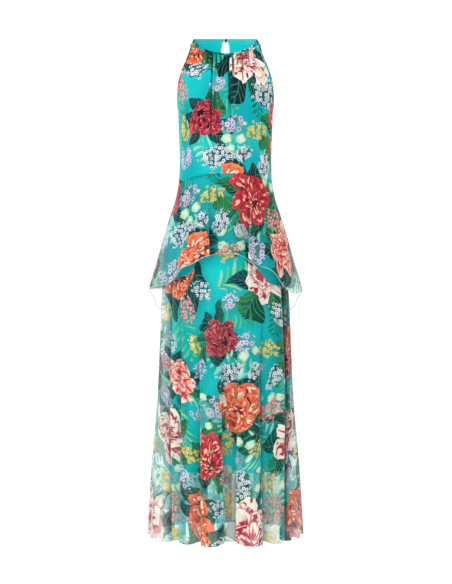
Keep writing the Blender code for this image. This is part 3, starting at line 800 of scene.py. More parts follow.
class Graph:
    """The node tree of one material."""

    def __init__(self, tree):
        self.tree = tree

    def node(self, kind, output, settings, inputs):
        """Adds a node and gives one of its outputs. The inputs are wires and constants, by label or place."""
        made = self.tree.nodes.new(kind)
        for name, value in settings.items():
            setattr(made, name, value)
        for name, value in inputs.items():
            plug(self.tree, made.inputs[name], value)
        return Wire(self.tree, made.outputs[output])

    def attribute(self, name):
        """The three numbers of a vector attribute."""
        return self.split(self.node("ShaderNodeAttribute", "Vector", {"attribute_name": name}, {}))

    def split(self, vector):
        first = self.node("ShaderNodeSeparateXYZ", 0, {}, {0: vector})
        return first, first.beside(1), first.beside(2)

    def join(self, x, y, z=0.0):
        return self.node("ShaderNodeCombineXYZ", 0, {}, {"X": x, "Y": y, "Z": z})

    def noise(self, vector, scale, detail=0.0, output="Fac", dimensions="3D"):
        inputs = {"Vector": vector, "Scale": scale, "Detail": detail}
        return self.node("ShaderNodeTexNoise", output, {"noise_dimensions": dimensions}, inputs)

    def random(self, x, y):
        settings = {"noise_dimensions": "2D"}
        return self.node("ShaderNodeTexWhiteNoise", "Value", settings, {"Vector": self.join(x, y)})

    def mix(self, share, first, second):
        """Blends two colours."""
        return self.node("ShaderNodeMix", 2, {"data_type": "RGBA"}, {0: share, 6: first, 7: second})

    def shade(self, colour, amount):
        """Multiplies a colour by an amount of light."""
        return self.node("ShaderNodeVectorMath", 0, {"operation": "SCALE"}, {0: colour, "Scale": amount})

    def pick(self, kind, colours):
        """One of the colours, by a whole number from 0."""
        picked = self.node("ShaderNodeValToRGB", 0, {}, {0: (kind + 0.5) / float(len(colours))})
        ramp = picked.socket.node.color_ramp
        ramp.interpolation = "CONSTANT"
        while len(ramp.elements) < len(colours):
            ramp.elements.new(1.0)
        for place, colour in enumerate(colours):
            ramp.elements[place].position = place / len(colours)
            ramp.elements[place].color = colour
        return picked

    def florets(self, place, size, randomness):
        """The nearest of many scattered points: its three random numbers, and the way from it in sizes."""
        inputs = {"Scale": 1 / size, "Randomness": randomness, "Vector": place}
        found = self.node("ShaderNodeTexVoronoi", "Color", {"voronoi_dimensions": "2D"}, inputs)
        at_x, at_y, _ = self.split(found.beside("Position"))
        x, y, _ = self.split(place)
        return self.split(found), (x - at_x) * (1 / size), (y - at_y) * (1 / size)


def rgb(*values):
    """A colour as a shader takes it, from the 0 to 255 values of a screen."""
    def linear(value):
        share = value / 255
        return share / 12.92 if share <= 0.04045 else ((share + 0.055) / 1.055) ** 2.4
    return (*map(linear, values), 1.0)


# The flower print

GROUND, GROUND_LIGHT = rgb(0, 176, 184), rgb(0, 198, 200)
FROND, FROND_LIGHT = rgb(52, 172, 124), rgb(165, 215, 140)

Bloom = namedtuple("Bloom", "name tip body heart streak")
BLOOMS = named(
    Bloom,
    ("coral", (246, 132, 88), (234, 84, 44), (112, 14, 38), (254, 226, 196)),
    ("cream", (250, 244, 234), (240, 226, 210), (196, 60, 84), (178, 24, 58)),
    ("crimson", (222, 54, 68), (190, 24, 54), (92, 4, 32), (254, 196, 160)),
    ("burgundy", (206, 84, 92), (146, 24, 54), (38, 4, 22), (222, 112, 110)),
    ("blush", (252, 220, 204), (246, 158, 138), (172, 26, 54), (210, 38, 60)),
)
LEAF_DARK = (rgb(2, 32, 42), rgb(2, 42, 46), rgb(6, 64, 52))
LEAF_LIGHT = (rgb(6, 68, 74), rgb(12, 84, 72), rgb(44, 128, 70))
LEAF_VEIN = rgb(120, 184, 140)

Sprig = namedtuple("Sprig", "name dark light")
SPRIGS = named(
    Sprig,
    ("fern", (30, 142, 112), (96, 196, 138)),
    ("grass", (70, 178, 126), (176, 220, 150)),
    ("laurel", (2, 82, 78), (30, 138, 100)),
    ("pale", (60, 182, 158), (150, 226, 192)),
)

# Small flowers in a head: petal, petal edge, centre, what lies between them, how much of that shows, and how
# many times smaller they are than HEAD_SIZE
Head = namedtuple("Head", "name petal edge centre gap gap_share fineness")
HEADS = named(
    Head,
    ("white", (246, 250, 250), (184, 202, 222), (84, 58, 66), (28, 50, 84), 0.88, 1.45),
    ("mimosa", (242, 228, 124), (206, 182, 62), (216, 136, 34), (92, 148, 72), 0.4, 1.35),
    ("lilac", (222, 212, 230), (184, 176, 208), (92, 106, 146), (116, 152, 172), 0.45, 0.95),
    ("pink", (240, 152, 166), (214, 92, 122), (246, 214, 120), (48, 136, 92), 0.45, 1.6),
)
MIMOSA = 1.0
HEAD_SIZE = 0.0160
BUD_SIZE = 0.042
BUD_COLOURS = (rgb(232, 240, 214), rgb(150, 206, 178), rgb(92, 166, 96), rgb(52, 150, 104))

# Petals of a bloom, ring by ring: how far they reach, how many, their turn, and how far the ring leans
Ring = namedtuple("Ring", "reach petals twist lean")
RINGS = named(
    Ring,
    (1, 6, 0, 0), (0.76, 6, 0.5, 0.3), (0.53, 5, 0.2, 0.62), (0.31, 4, 0.7, 0.9),
)


def tones(graph, kind, rows):
    """The colours of a motif of some kind, one from each of the columns that hold colours."""
    for column in zip(*rows):
        if isinstance(column[0], tuple):
            yield graph.pick(kind, [rgb(*colour) for colour in column])


# A bloom: how much and how finely it bends and ruffles, how far its rings lean, the form of a petal, the rays
# of colour in it, where its tip ends and its streaks and dark heart begin from the edge inwards, and the
# shadows in its folds and under its edge
BLOOM_BEND, BEND_SCALE = 0.50, 1.5
RUFFLE, RUFFLE_SCALE = 0.16, 8.0
BLOOM_LEAN = 0.42
PETAL_NOTCH, PETAL_ROUNDNESS, PETAL_DEPTH = 0.26, 2.8, 0.44
RAYS, RAY_DETAIL = 1.15, 0.6
TIP_ENDS, STREAK_ENDS, HEART_ENDS = (-0.10, 0.40), (0.48, 0.64), (0.92, 1.25)
FOLD_SHADE, FOLD_REACH = 0.62, 0.16
UNDER_SHADE, UNDER_REACH = 0.55, 0.12


def bloom_paint(graph, place, x, y, code):
    """A full flower of ruffled petals in rings: its colour and its mask."""
    kind, seed = code.floor(), code.fract() * 37.0
    tip, body, heart, streak = tones(graph, kind, BLOOMS)
    bend_x, bend_y, _ = graph.split(graph.noise(graph.join(x, y, seed), BEND_SCALE, output="Color"))
    x = x + (bend_x - 0.5) * BLOOM_BEND
    y = y + (bend_y - 0.5) * BLOOM_BEND
    lean_x, lean_y = (seed * 1.3).sin() * BLOOM_LEAN, (seed * 2.1).cos() * BLOOM_LEAN
    ruffle = graph.noise(graph.join(x, y, seed), RUFFLE_SCALE, 1.0) - 0.5
    colour = mask = None
    for number, ring in enumerate(RINGS):
        px, py = x - lean_x * ring.lean, y - lean_y * ring.lean
        radius = wire_length(px, py)
        turn = py.arctan2(px) * (ring.petals / (2 * math.pi)) + (seed * 0.37 + ring.twist)
        across = turn.fract() - 0.5
        petal = turn.floor().modulo(float(ring.petals))
        chance = graph.random(petal + number * 11.0, seed.floor())
        edge = ring.reach * (1 - (across * 2.0).abs().power(PETAL_ROUNDNESS) * PETAL_NOTCH)
        edge = edge * (chance * 0.30 + 0.80) + ruffle * RUFFLE
        inside = (edge - radius).step(-0.006, 0.012)
        depth = (edge - radius) / (ring.reach * PETAL_DEPTH)
        along = radius + 0.05
        ray_place = graph.join(px / along, py / along, radius * 0.7 + seed)
        ray = graph.noise(ray_place, ring.petals * RAYS, RAY_DETAIL) - 0.5
        painted = graph.mix((depth + ray * 1.8).step(*TIP_ENDS), tip, body)
        streaked = (depth * 0.75 + ray * 3.4 - across.abs() * 0.5).step(*STREAK_ENDS)
        painted = graph.mix(streaked, painted, streak)
        painted = graph.mix((depth * 1.1 - ray * 2.2).step(*HEART_ENDS), painted, heart)
        fold = (across + 0.5 + ray * 0.3).step(0.0, FOLD_REACH)
        painted = graph.mix((1 - fold) * FOLD_SHADE, painted, heart)
        if colour is None:
            colour, mask = painted, inside
        else:
            under = (radius - edge).step(UNDER_REACH, 0.0) * UNDER_SHADE
            colour = graph.mix(inside, graph.mix(under, colour, heart), painted)
            mask = mask.largest(inside)
    return colour, mask


# Leaves round a bloom: how many places, what share of them stays empty, where a leaf starts, how far the
# shortest reaches and how much further the longest, width, bend, teeth and veins
LEAF_PLACES, LEAVES_LEFT_OUT = 8.0, 0.14
LEAF_START, LEAF_SHORTEST, LEAF_LONGER = 0.42, 1.24, 0.62
LEAF_WIDTH, LEAF_FULLNESS, LEAF_BEND = 0.70, 0.70, 1.1
LEAF_TEETH, TOOTH_DEPTH = 17.0, 0.025
VEINS, VEIN_SLANT, VEIN_ENDS = 6.5, 3.2, (0.05, 0.13)


def leaf_paint(graph, place, x, y, code):
    """The leaves that stand out round a bloom."""
    seed = code.fract() * 53.0
    radius = wire_length(x, y)
    fleck = graph.noise(graph.join(x, y, seed), 4.0, 1.0)
    bend = (graph.noise(graph.join(x, y, seed), 1.1) - 0.5) * LEAF_BEND
    turn = (y.arctan2(x) + bend) * (LEAF_PLACES / (2 * math.pi)) + seed
    sector = turn.floor().modulo(LEAF_PLACES)
    across = (turn.fract() - 0.5) * 2.0
    chance = graph.random(sector, seed.floor() + 3.0)
    reach = chance * LEAF_LONGER + LEAF_SHORTEST
    along = (radius - LEAF_START) / (reach - LEAF_START)
    width = (1 - (along * 2 - 1).power(2.0)).largest(0.0).power(LEAF_FULLNESS)
    wide = across.abs() * radius * 0.80
    teeth = (along * LEAF_TEETH).fract() * TOOTH_DEPTH
    inside = (width * LEAF_WIDTH - teeth - wide).step(0.0, 0.02)
    inside = inside * (chance - LEAVES_LEFT_OUT).step(0.0, 0.01)
    vein = ((along * VEINS - wide * VEIN_SLANT).fract() - 0.5).abs().step(*VEIN_ENDS)
    tone = (chance * 37.0).fract() * 2.99 - 0.5
    dark, light = graph.pick(tone, LEAF_DARK), graph.pick(tone, LEAF_LIGHT)
    painted = graph.mix((across * 0.5 + fleck).step(0.25, 0.95), dark, light)
    return graph.mix(1 - vein * wide.step(0.012, 0.045), painted, graph.mix(0.26, light, LEAF_VEIN)), inside


# A sprig: its sway and how solid it looks, its pairs of leaves, how they slant and curve, and its stem
SPRIG_SWAY, SPRIG_SOLIDITY = 0.16, 0.92
SPRIG_PAIRS, PAIR_STAGGER = 3.7, 0.07
SPRIG_SLANT, SPRIG_CURVE = 1.9, 0.8
STEM_HALF_WIDTH = 0.020


def sprig_paint(graph, place, x, y, code):
    """A stem with pairs of slanting leaves. x runs along it from -1 to 1."""
    kind, seed = code.floor(), code.fract() * 29.0
    dark, light = tones(graph, kind, SPRIGS)
    y = y + (x * 1.6 + seed).sin() * SPRIG_SWAY
    side, sign = y.abs(), y.sign()
    slant = side.power(SPRIG_CURVE) * (SPRIG_SLANT + (seed * 5.0).cos() * 0.5)
    shifted = (x + sign * PAIR_STAGGER) * (SPRIG_PAIRS + (seed * 3.0).sin() * 0.6) - slant
    within = shifted.fract() - 0.5
    chance = graph.random(shifted.floor() + sign * 31.0, seed)
    taper = (1 - x.power(2.0)).largest(0.0).power(0.5)
    along = side / (taper * (0.50 + chance * 0.34) + 0.001)
    width = (along * (1.02 - along)).largest(0.0).power(0.8) * (0.80 + chance * 0.35)
    leaf = (width - within.abs()).step(0.0, 0.09) * taper.step(0.0, 0.1)
    stem = (side - STEM_HALF_WIDTH).step(0.012, -0.006) * (x.abs() - 1.0).step(0.02, -0.05)
    painted = graph.mix((within + (chance - 0.5) * 0.5).step(-0.22, 0.26), dark, light)
    return graph.mix(stem, painted, dark), leaf.largest(stem) * SPRIG_SOLIDITY


# A head of small flowers: how unevenly they lie, how many petals each has and how deep the notches between
# them are, how much further a mimosa's ball reaches, and where the head and a flower's centre end
FLORET_UNEVEN, FLORET_PETALS, FLORET_NOTCH, FLORET_REACH = 0.75, 5, 0.22, 0.34
BALL_REACH = 0.18
HEAD_ENDS, HEAD_EDGE_ENDS = (0.88, 0.82), (0.86, 0.62)
HEAD_ROUGHNESS = 0.9
CENTRE_ENDS = (0.20, 0.12)


def head_paint(graph, place, x, y, code):
    """A loose head of small flowers. place is the point of the cloth in metres."""
    kind, seed = code.floor(), code.fract() * 41.0
    petal, edge_tone, centre, gap = tones(graph, kind, HEADS)
    gap_share = graph.pick(kind, [(row.gap_share,) * 3 + (1.0,) for row in HEADS])
    fineness = graph.pick(kind, [(row.fineness / 2,) * 3 + (1.0,) for row in HEADS])
    (red, green, blue), dx, dy = graph.florets(graph.shade(place, fineness * 2.0), HEAD_SIZE, FLORET_UNEVEN)
    distance = wire_length(dx, dy)
    angle = dy.arctan2(dx) + red * 6.3
    ball = kind.math("COMPARE", MIMOSA, 0.1)
    lobes = (angle * (FLORET_PETALS / 2)).cos().abs().power(0.6) * (1 - ball)
    reach = (lobes * FLORET_NOTCH + FLORET_REACH + ball * BALL_REACH) * (green * 0.30 + 0.82)
    flower = (reach - distance).step(0.0, 0.05)
    rough = wire_length(x, y) + (graph.noise(graph.join(x, y, seed), 2.2, 1.0) - 0.5) * HEAD_ROUGHNESS
    keep = (rough + (blue - 0.5) * 0.35).step(*HEAD_ENDS)
    painted = graph.mix((distance / reach).step(0.45, 1.0), petal, edge_tone)
    painted = graph.mix(distance.step(*CENTRE_ENDS), painted, centre)
    painted = graph.shade(painted, blue * 0.30 + 0.74)
    gap = graph.mix(graph.noise(place, 130.0, dimensions="2D").step(0.52, 0.62) * 0.55, gap, FROND)
    return graph.mix(flower, gap, painted), keep * flower.largest(gap_share * rough.step(*HEAD_EDGE_ENDS))


# Buds: how unevenly they lie, how much longer than wide, the scallops of the rim, the ridges, the stems
# between them, and where the group ends
BUD_UNEVEN, BUD_LENGTH, BUD_REACH = 0.55, 1.35, 0.42
SCALLOPS, SCALLOP_DEPTH = 6.0, 0.025
RIDGES, RIDGE_SHADE = 13.0, 0.30
BUD_STEMS, BUD_STEM_SHARE = 7.0, 0.8
BUDS_END = (0.92, 0.86)


def bud_paint(graph, place, x, y, code):
    """Large pale buds among stems, in a loose group."""
    seed = code.fract() * 41.0
    (red, green, blue), dx, dy = graph.florets(place, BUD_SIZE, BUD_UNEVEN)
    tilt = red * 6.3
    ex = dx * tilt.cos() + dy * tilt.sin()
    ey = (dy * tilt.cos() - dx * tilt.sin()) * BUD_LENGTH
    distance = wire_length(ex, ey)
    scallop = (ey.arctan2(ex) * SCALLOPS).cos() * SCALLOP_DEPTH * (ex + 0.1).step(-0.1, 0.2)
    reach = (scallop + BUD_REACH) * (green * 0.4 + 0.75)
    bud = (reach - distance).step(0.0, 0.03)
    head = wire_length(x, y)
    keep = (head + (blue - 0.5) * 0.3).step(*BUDS_END)
    ridge = ((ey * RIDGES + ex * 2.0).cos() * 0.5 + 0.5) * RIDGE_SHADE
    pale, shaded, cup, stem_tone = BUD_COLOURS
    painted = graph.mix((distance / reach).step(0.1, 1.0) * 0.70 + ridge, pale, shaded)
    painted = graph.mix((-ex).step(reach * 0.45, reach * 0.75) * 0.85, painted, cup)
    lines = graph.noise(graph.join(x, y, seed), 2.6)
    stem = ((lines * BUD_STEMS).fract() - 0.5).abs().step(0.10, 0.03) * head.step(1.0, 0.75)
    return graph.mix(bud, stem_tone, painted), (keep * bud).largest(stem * BUD_STEM_SHARE)


# The ground's fronds: how fine across and along, how far they sway, and how much of them shows
FROND_ACROSS, FROND_ALONG = 30.0, 5.5
SWAY_ACROSS, SWAY_ALONG = 26.0, 10.0
FROND_LINE = (0.022, 0.004)
FROND_SHARE, LIGHT_FROND_SHARE = 0.60, 0.45


def ground_paint(graph, place):
    """The plain ground with faint thin fronds."""
    x, y, _ = graph.split(place)
    soft = graph.noise(place, 9.0, 1.0, dimensions="2D")
    sway = soft - 0.5
    bent = graph.join(x * FROND_ACROSS + sway * SWAY_ACROSS, y * FROND_ALONG + sway * SWAY_ALONG)
    blade = graph.noise(bent, 3.0, 1.0, dimensions="2D")
    line = (blade - 0.5).abs().step(*FROND_LINE)
    group = graph.noise(place, 7.0, dimensions="2D")
    colour = graph.mix(soft.step(0.35, 0.7), GROUND, GROUND_LIGHT)
    colour = graph.mix(line * group.step(0.50, 0.62) * FROND_SHARE, colour, FROND)
    return graph.mix(line * group.step(0.46, 0.34) * LIGHT_FROND_SHARE, colour, FROND_LIGHT), 0.0


# Layers of the print from the bottom up. Reach is how far from a motif's middle, in motif sizes, it is drawn,
# and source names the attribute that holds the corners' places in the nearest motif. A paint takes the place
# on the cloth, the place in the motif, and a code: the motif's kind, and a share of its own to vary it.
Paint = namedtuple("Paint", "name source reach paint")
PAINTS = named(
    Paint,
    ("sprigs", "sprig", 1.1, sprig_paint),
    ("leaves", "bloom", 1.95, leaf_paint),
    ("buds", "bud", 1.15, bud_paint),
    ("heads", "head", 1.4, head_paint),
    ("blooms", "bloom", 1.45, bloom_paint),
)

GROUND_LAYER = Paint("ground", None, None, ground_paint)


def cloth_place(graph):
    u, v, _ = graph.attribute("cloth_place")
    return graph.join(u, v)


@cache
def paint_group(layer):
    """A node group that gives a layer's colour and mask."""
    tree = bpy.data.node_groups.new(f"print_{layer.name}", "ShaderNodeTree")
    tree.interface.new_socket("Color", in_out="OUTPUT", socket_type="NodeSocketColor")
    tree.interface.new_socket("Mask", in_out="OUTPUT", socket_type="NodeSocketFloat")
    graph, made = Graph(tree), tree.nodes.new("NodeGroupOutput")
    motif = graph.attribute(layer.source) if layer.source else ()
    for place, value in enumerate(layer.paint(graph, cloth_place(graph), *motif)):
        plug(tree, made.inputs[place], value)
    return tree


def grouped(graph, layer):
    colour = graph.node("ShaderNodeGroup", 0, {"node_tree": paint_group(layer)}, {})
    return colour, colour.beside(1)


def used_layers(graph, used):
    """The colour and the mask of each layer of motifs that is used."""
    return [grouped(graph, layer) for bit, layer in enumerate(PAINTS) if used >> bit & 1]


def print_colour(graph, used):
    """The print where the used layers show: its colour, and how much of the cloth a motif covers."""
    colour, _ = grouped(graph, GROUND_LAYER)
    cover = None
    for painted, mask in used_layers(graph, used):
        colour = graph.mix(mask, colour, painted)
        cover = cover.largest(mask) if cover else mask
    return colour, cover


# Where the blooms lie on the repeat of the print
TILE = (0.60, 0.72)
PRINT_SEED, SCATTER_TRIES = 11, 6000
GOLDEN = 0.6180339
SMALL_ROOM = 0.90
TILE_MARGIN = 0.2
Motif = namedtuple("Motif", "kind x y size turn flat")
BLOOM_PLACES = named(
    Motif,
    (0, 0.095, 0.095, 0.092, 70, 0.8), (1, 0.395, 0.115, 0.098, 105, 0.84),
    (3, 0.24, 0.3, 0.062, 80, 0.9), (2, 0.515, 0.325, 0.09, 95, 0.76), (4, 0.07, 0.42, 0.07, 250, 0.84),
    (0, 0.32, 0.5, 0.092, 195, 0.84), (1, 0.56, 0.575, 0.09, 260, 0.84),
    (2, 0.155, 0.63, 0.078, 120, 0.8),
)


def gap_between(motif, x, y):
    dx = (motif.x - x + TILE[0] / 2) % TILE[0] - TILE[0] / 2
    dy = (motif.y - y + TILE[1] / 2) % TILE[1] - TILE[1] / 2
    return math.hypot(dx, dy)


# Small motifs that are scattered over the rest: how many, their sizes, kinds and flatness, and the room that
# they keep from motifs laid before them, as shares of the other's size and of their own
Scatter = namedtuple("Scatter", "name number sizes kinds flat rooms")
SCATTERS = named(
    Scatter,
    ("head", 34, (0.032, 0.054), (0, 1, 2, 1, 0, 3, 2), 0.72, {"bloom": (0.80, 0.60)}),
    ("bud", 9, (0.050, 0.066), (0,), 0.9, {"bloom": (0.88, 0.45), "head": (0.30, 0.45)}),
    ("sprig", 22, (0.050, 0.080), (3, 0, 1, 3, 2, 1), 0.80, {"bloom": (0.75, 0.30)}),
)


def scatter(draw, row, laid):
    """Finds places on the repeating tile that are clear of each other and of motifs laid before."""
    found = []
    for _ in range(SCATTER_TRIES):
        if len(found) == row.number:
            break
        x, y, size = draw.uniform(0, TILE[0]), draw.uniform(0, TILE[1]), draw.uniform(*row.sizes)
        clear = all(gap_between(other, x, y) > other.size * room + size * own
                    for name, (room, own) in row.rooms.items() for other in laid[name])
        if clear and all(gap_between(other, x, y) > (other.size + size) * SMALL_ROOM for other in found):
            kind = row.kinds[len(found) % len(row.kinds)]
            found.append(Motif(kind, x, y, size, draw.uniform(0, 360), row.flat))
    return found


def lay_out_print():
    draw, laid = random.Random(PRINT_SEED), {"bloom": BLOOM_PLACES}
    for row in SCATTERS:
        laid[row.name] = scatter(draw, row, laid)
    return laid


FAR = 9.0
MOTIFS = lay_out_print()


def nearest_motifs(corners, motifs):
    """For each face, how far the nearest motif is in its own sizes, and the corners' places in its frame."""
    centres = corners.mean(1)
    low, high = centres.min(0) - TILE_MARGIN, centres.max(0) + TILE_MARGIN
    rows = []
    for i in range(int(low[0] // TILE[0]), int(high[0] // TILE[0]) + 1):
        for j in range(int(low[1] // TILE[1]), int(high[1] // TILE[1]) + 1):
            for number, motif in enumerate(motifs):
                seed = (number * GOLDEN + i * 0.37 + j * 0.71) % 1 * 0.98
                x, y = motif.x + i * TILE[0], motif.y + j * TILE[1]
                turn = math.radians(motif.turn)
                rows.append((x, y, motif.size, motif.size * motif.flat, turn, motif.kind + seed))
    table = np.array(rows)

    def in_motif(dx, dy, row):
        cosine, sine = np.cos(row[..., 4]), np.sin(row[..., 4])
        return (dx * cosine + dy * sine) / row[..., 2], (dy * cosine - dx * sine) / row[..., 3]

    best, which = np.full(len(centres), FAR**2), np.zeros(len(centres), int)
    for number, row in enumerate(table):
        x, y = in_motif(centres[:, 0] - row[0], centres[:, 1] - row[1], row)
        distance = x**2 + y**2
        closer = distance < best
        best[closer], which[closer] = distance[closer], number
    row = table[which][:, None, :]
    x, y = in_motif(corners[..., 0] - row[..., 0], corners[..., 1] - row[..., 1], row)
    return np.sqrt(best), stack(x, y, row[..., 5])


# Finishes

GROUND_ALPHA, MOTIF_ALPHA = 0.33, 0.88
# How much darker the ground of lined cloth is, and how strong the painted shade in creases is
LINED_GROUND, CREASE_PAINTED_SHADE = 0.92, 0.62
# Opacity where a pleat lays the cloth several layers deep, and the strength of the painted shadow under its
# edge and of the painted highlight along it
PLEAT_ALPHA, PLEAT_PAINTED_SHADOW, PLEAT_PAINTED_HIGHLIGHT = 0.92, 0.84, 0.14
THIN_MOTIF, PLEAT_EDGE_ALPHA = 0.60, 0.2
# The pale tone of the painted highlight along a pleat's edge
PAINTED_HIGHLIGHT_TONE = rgb(170, 240, 236)
Reverse = namedtuple("Reverse", "tone ground motif")
FRONT_REVERSE = Reverse(rgb(90, 222, 220), 0.05, 0.05)
BACK_REVERSE = Reverse(rgb(206, 246, 244), 0.06, 0.80)
LINING_TONE = rgb(24, 232, 230)
LINING_INSIDE = rgb(72, 222, 220)
HEM_TONE = rgb(168, 232, 226)
TRIM_TONE = rgb(10, 120, 124)
BUTTON_TONE = rgb(14, 36, 44)
THREAD_TONE = rgb(20, 150, 152)
CHIFFON_ROUGHNESS, CLOTH_SPECULAR = 0.62, 0.08
WEAVE_SCALE, WEAVE_DEPTH, WEAVE_STRENGTH = 1400.0, 0.00004, 0.6
UNEVEN_SCALE, UNEVEN_TONE, UNEVEN_ENDS = 26.0, 0.90, (0.3, 0.7)
PLAIN_ROUGHNESS = 0.55


def new_material(name, roughness, specular=CLOTH_SPECULAR):
    """A material, its graph and the inputs of its shader."""
    material = bpy.data.materials.new(name)
    material.use_nodes = True
    inputs = material.node_tree.nodes["Principled BSDF"].inputs
    inputs["Roughness"].default_value = roughness
    inputs["Specular IOR Level"].default_value = specular
    return material, Graph(material.node_tree), inputs


def add_weave(graph, inputs, vector):
    """A fine crepe surface."""
    grain = graph.noise(vector, WEAVE_SCALE)
    bumps = {"Height": grain, "Distance": WEAVE_DEPTH, "Strength": WEAVE_STRENGTH}
    plug(graph.tree, inputs["Normal"], graph.node("ShaderNodeBump", "Normal", {}, bumps))


@cache
def print_material(used, sheer):
    """The print with the used layers of motifs, on sheer or on lined cloth."""
    name = f"{'sheer' if sheer else 'lined'}_print_{used:02d}"
    material, graph, inputs = new_material(name, CHIFFON_ROUGHNESS)
    colour, cover = print_colour(graph, used)
    add_weave(graph, inputs, cloth_place(graph))
    dense, dark, light = graph.attribute("fold")
    if sheer:
        alpha = dense * GROUND_ALPHA
        if cover:
            alpha = alpha + cover * ((dense * (1 - THIN_MOTIF) + THIN_MOTIF) * MOTIF_ALPHA - alpha)
        # Where a pleat lays the cloth several layers deep it is more opaque; its colour gets a painted
        # highlight along the edge and a painted shadow under it
        alpha = alpha + dark.largest(light * PLEAT_EDGE_ALPHA) * (PLEAT_ALPHA - alpha)
        plug(graph.tree, inputs["Alpha"], alpha)
        colour = graph.mix(light * PLEAT_PAINTED_HIGHLIGHT, colour, PAINTED_HIGHLIGHT_TONE)
        colour = graph.shade(colour, 1 - dark * PLEAT_PAINTED_SHADOW)
    else:
        # Lined cloth: its ground a little darker, and painted shade in the creases
        tone = cover * (1 - LINED_GROUND) + LINED_GROUND if cover else LINED_GROUND
        colour = graph.shade(colour, dark * -CREASE_PAINTED_SHADE + tone)
    plug(graph.tree, inputs["Base Color"], colour)
    return material


@cache
def reverse_material(used, reverse):
    """The inner side of sheer cloth: pale, and closest where a motif is."""
    if not used or reverse.ground == reverse.motif:
        name = f"chiffon_reverse_{round(100 * reverse.ground)}"
        return plain_material(name, reverse.tone, alpha=reverse.ground)
    material, graph, inputs = new_material(f"reverse_print_{used:02d}", CHIFFON_ROUGHNESS)
    cover = reduce(Wire.largest, [mask for _, mask in used_layers(graph, used)])
    dense, _, _ = graph.attribute("fold")
    plug(graph.tree, inputs["Alpha"], (cover * (reverse.motif - reverse.ground) + reverse.ground) * dense)
    inputs["Base Color"].default_value = reverse.tone
    return material


@cache
def plain_material(name, tone, roughness=PLAIN_ROUGHNESS, alpha=1.0, weave=False, specular=CLOTH_SPECULAR):
    """A plain cloth, thread or cord finish with a slight unevenness."""
    material, graph, inputs = new_material(name, roughness, specular)
    place = graph.node("ShaderNodeTexCoord", "Object", {}, {})
    uneven = graph.noise(place, UNEVEN_SCALE, 1.0).step(*UNEVEN_ENDS)
    darker = (*(UNEVEN_TONE * part for part in tone[:3]), 1.0)
    plug(graph.tree, inputs["Base Color"], graph.mix(uneven, darker, tone))
    inputs["Alpha"].default_value = alpha
    if weave:
        add_weave(graph, inputs, place)
    return material


def choose_print(corners, reverse, bare):
    """The materials of printed faces, by the layers of motifs that reach them.

    Also gives the slots of the outer sides and then of the inner ones, and the corners' places in the
    nearest motifs.
    """
    used = np.zeros(len(corners), int)
    near = {name: nearest_motifs(corners, motifs) for name, motifs in MOTIFS.items()}
    for bit, layer in enumerate(PAINTS):
        used |= (near[layer.source][0] < layer.reach).astype(int) << bit
    if bare is not None:
        used[bare] = 0
    kinds, slots = np.unique(used, return_inverse=True)
    slots = slots.reshape(-1)
    materials = [print_material(int(kind), reverse is not None) for kind in kinds]
    if reverse:
        materials += [reverse_material(int(kind), reverse) for kind in kinds]
        inner_slots = slots + len(kinds)
    else:
        materials.append(plain_material("lining_inside", LINING_INSIDE))
        inner_slots = np.full(len(slots), len(kinds))
    slots = np.concatenate([slots, inner_slots])
    return materials, slots, {name: places for name, (_, places) in near.items()}


# Trims

# A direction that no ring of cord runs along, and a shift that keeps an upright cord from having none
RING_LEVEL = (0.13, 0.41, 0.90)
LEVEL_SHIFT = (1e-4, 0, 1e-4)
CORD_SIDES = 8


def smooth_ring(values, passes):
    for _ in range(passes):
        values = (np.roll(values, 1, 0) + 2 * values + np.roll(values, -1, 0)) / 4
    return values


def closed_path(values):
    return np.concatenate([values, values[:1]])


def rings_round(middles, radius, up, other, sides):
    """Round cross-sections about the points of a path."""
    turns = whole_turn(sides)[:, None]
    return middles[:, None] + radius * (np.cos(turns) * up[:, None] + np.sin(turns) * other[:, None])


def tube(name, path, radius, material, closed=False):
    """A round cord along a path."""
    along = unit(np.roll(path, -1, 0) - np.roll(path, 1, 0) if closed else np.gradient(path, axis=0))
    level = RING_LEVEL if closed else np.cross((0.0, 0.0, 1.0), along) + LEVEL_SHIFT
    up = unit(np.cross(along, level))
    loops = rings_round(path, radius, up, np.cross(along, up), CORD_SIDES)
    return make_mesh(name, loops, rod_faces(*loops.shape[:2], closed), [material])


def printed_band(name, loops, closed):
    """A folded printed strip through cross-sections, whose later points are faced with lining."""
    faces = rod_faces(*loops.shape[:2], closed)
    held = closed_path(loops) if closed else loops
    across, down = lengths_along(held.mean(1)), lengths_along(closed_path(held[0]))
    places = stack(across[:, None], down[None, :], 0.0)[..., :2]
    corners = places.reshape(-1, 2)[grid_faces(*places.shape[:2])] + PRINT_SHIFTS[name]
    materials, slots, near = choose_print(corners, None, None)
    lined = np.tile(np.arange(loops.shape[1]) >= BAND_LINED_FROM, len(held) - 1)
    slots = np.where(lined, len(materials) - 1, slots[: len(corners)])
    slots = np.concatenate([slots, np.zeros(len(faces) - len(slots), int)])
    made = make_mesh(f"{name}_cloth", loops, faces, materials, slots)
    write_corners(made, "cloth_place", stack(corners[..., 0], corners[..., 1], 0.0))
    for source, held in near.items():
        write_corners(made, source, held)
    return made


# Stitches: short threads laid along a line, dipping into the cloth at both ends
STITCH_LENGTH, STITCH_PITCH, STITCH_RADIUS = 0.0021, 0.0031, 0.00022
STITCH_RADII = STITCH_RADIUS * np.array([0.45, 0.95, 1.0, 0.95, 0.45])[:, None, None]
STITCH_SIDES = 5
STITCH_ARCH, STITCH_DIP = 1.6, 0.6


def stitch_loops(path, normals):
    """Cross-sections of each stitch of a row along a path."""
    marks = lengths_along(path)
    share = np.linspace(0, 1, len(STITCH_RADII))
    for start in np.arange(STITCH_PITCH / 2, marks[-1] - STITCH_PITCH, STITCH_PITCH):
        at = start + share * STITCH_LENGTH
        out = unit(read_along(at, marks, normals))
        rise = STITCH_RADIUS * (STITCH_ARCH * np.sin(share * math.pi) - STITCH_DIP)
        middle = read_along(at, marks, path) + out * rise[:, None]
        side = np.cross(unit(np.gradient(middle, axis=0)), out)
        yield rings_round(middle, STITCH_RADII, out, side, STITCH_SIDES)


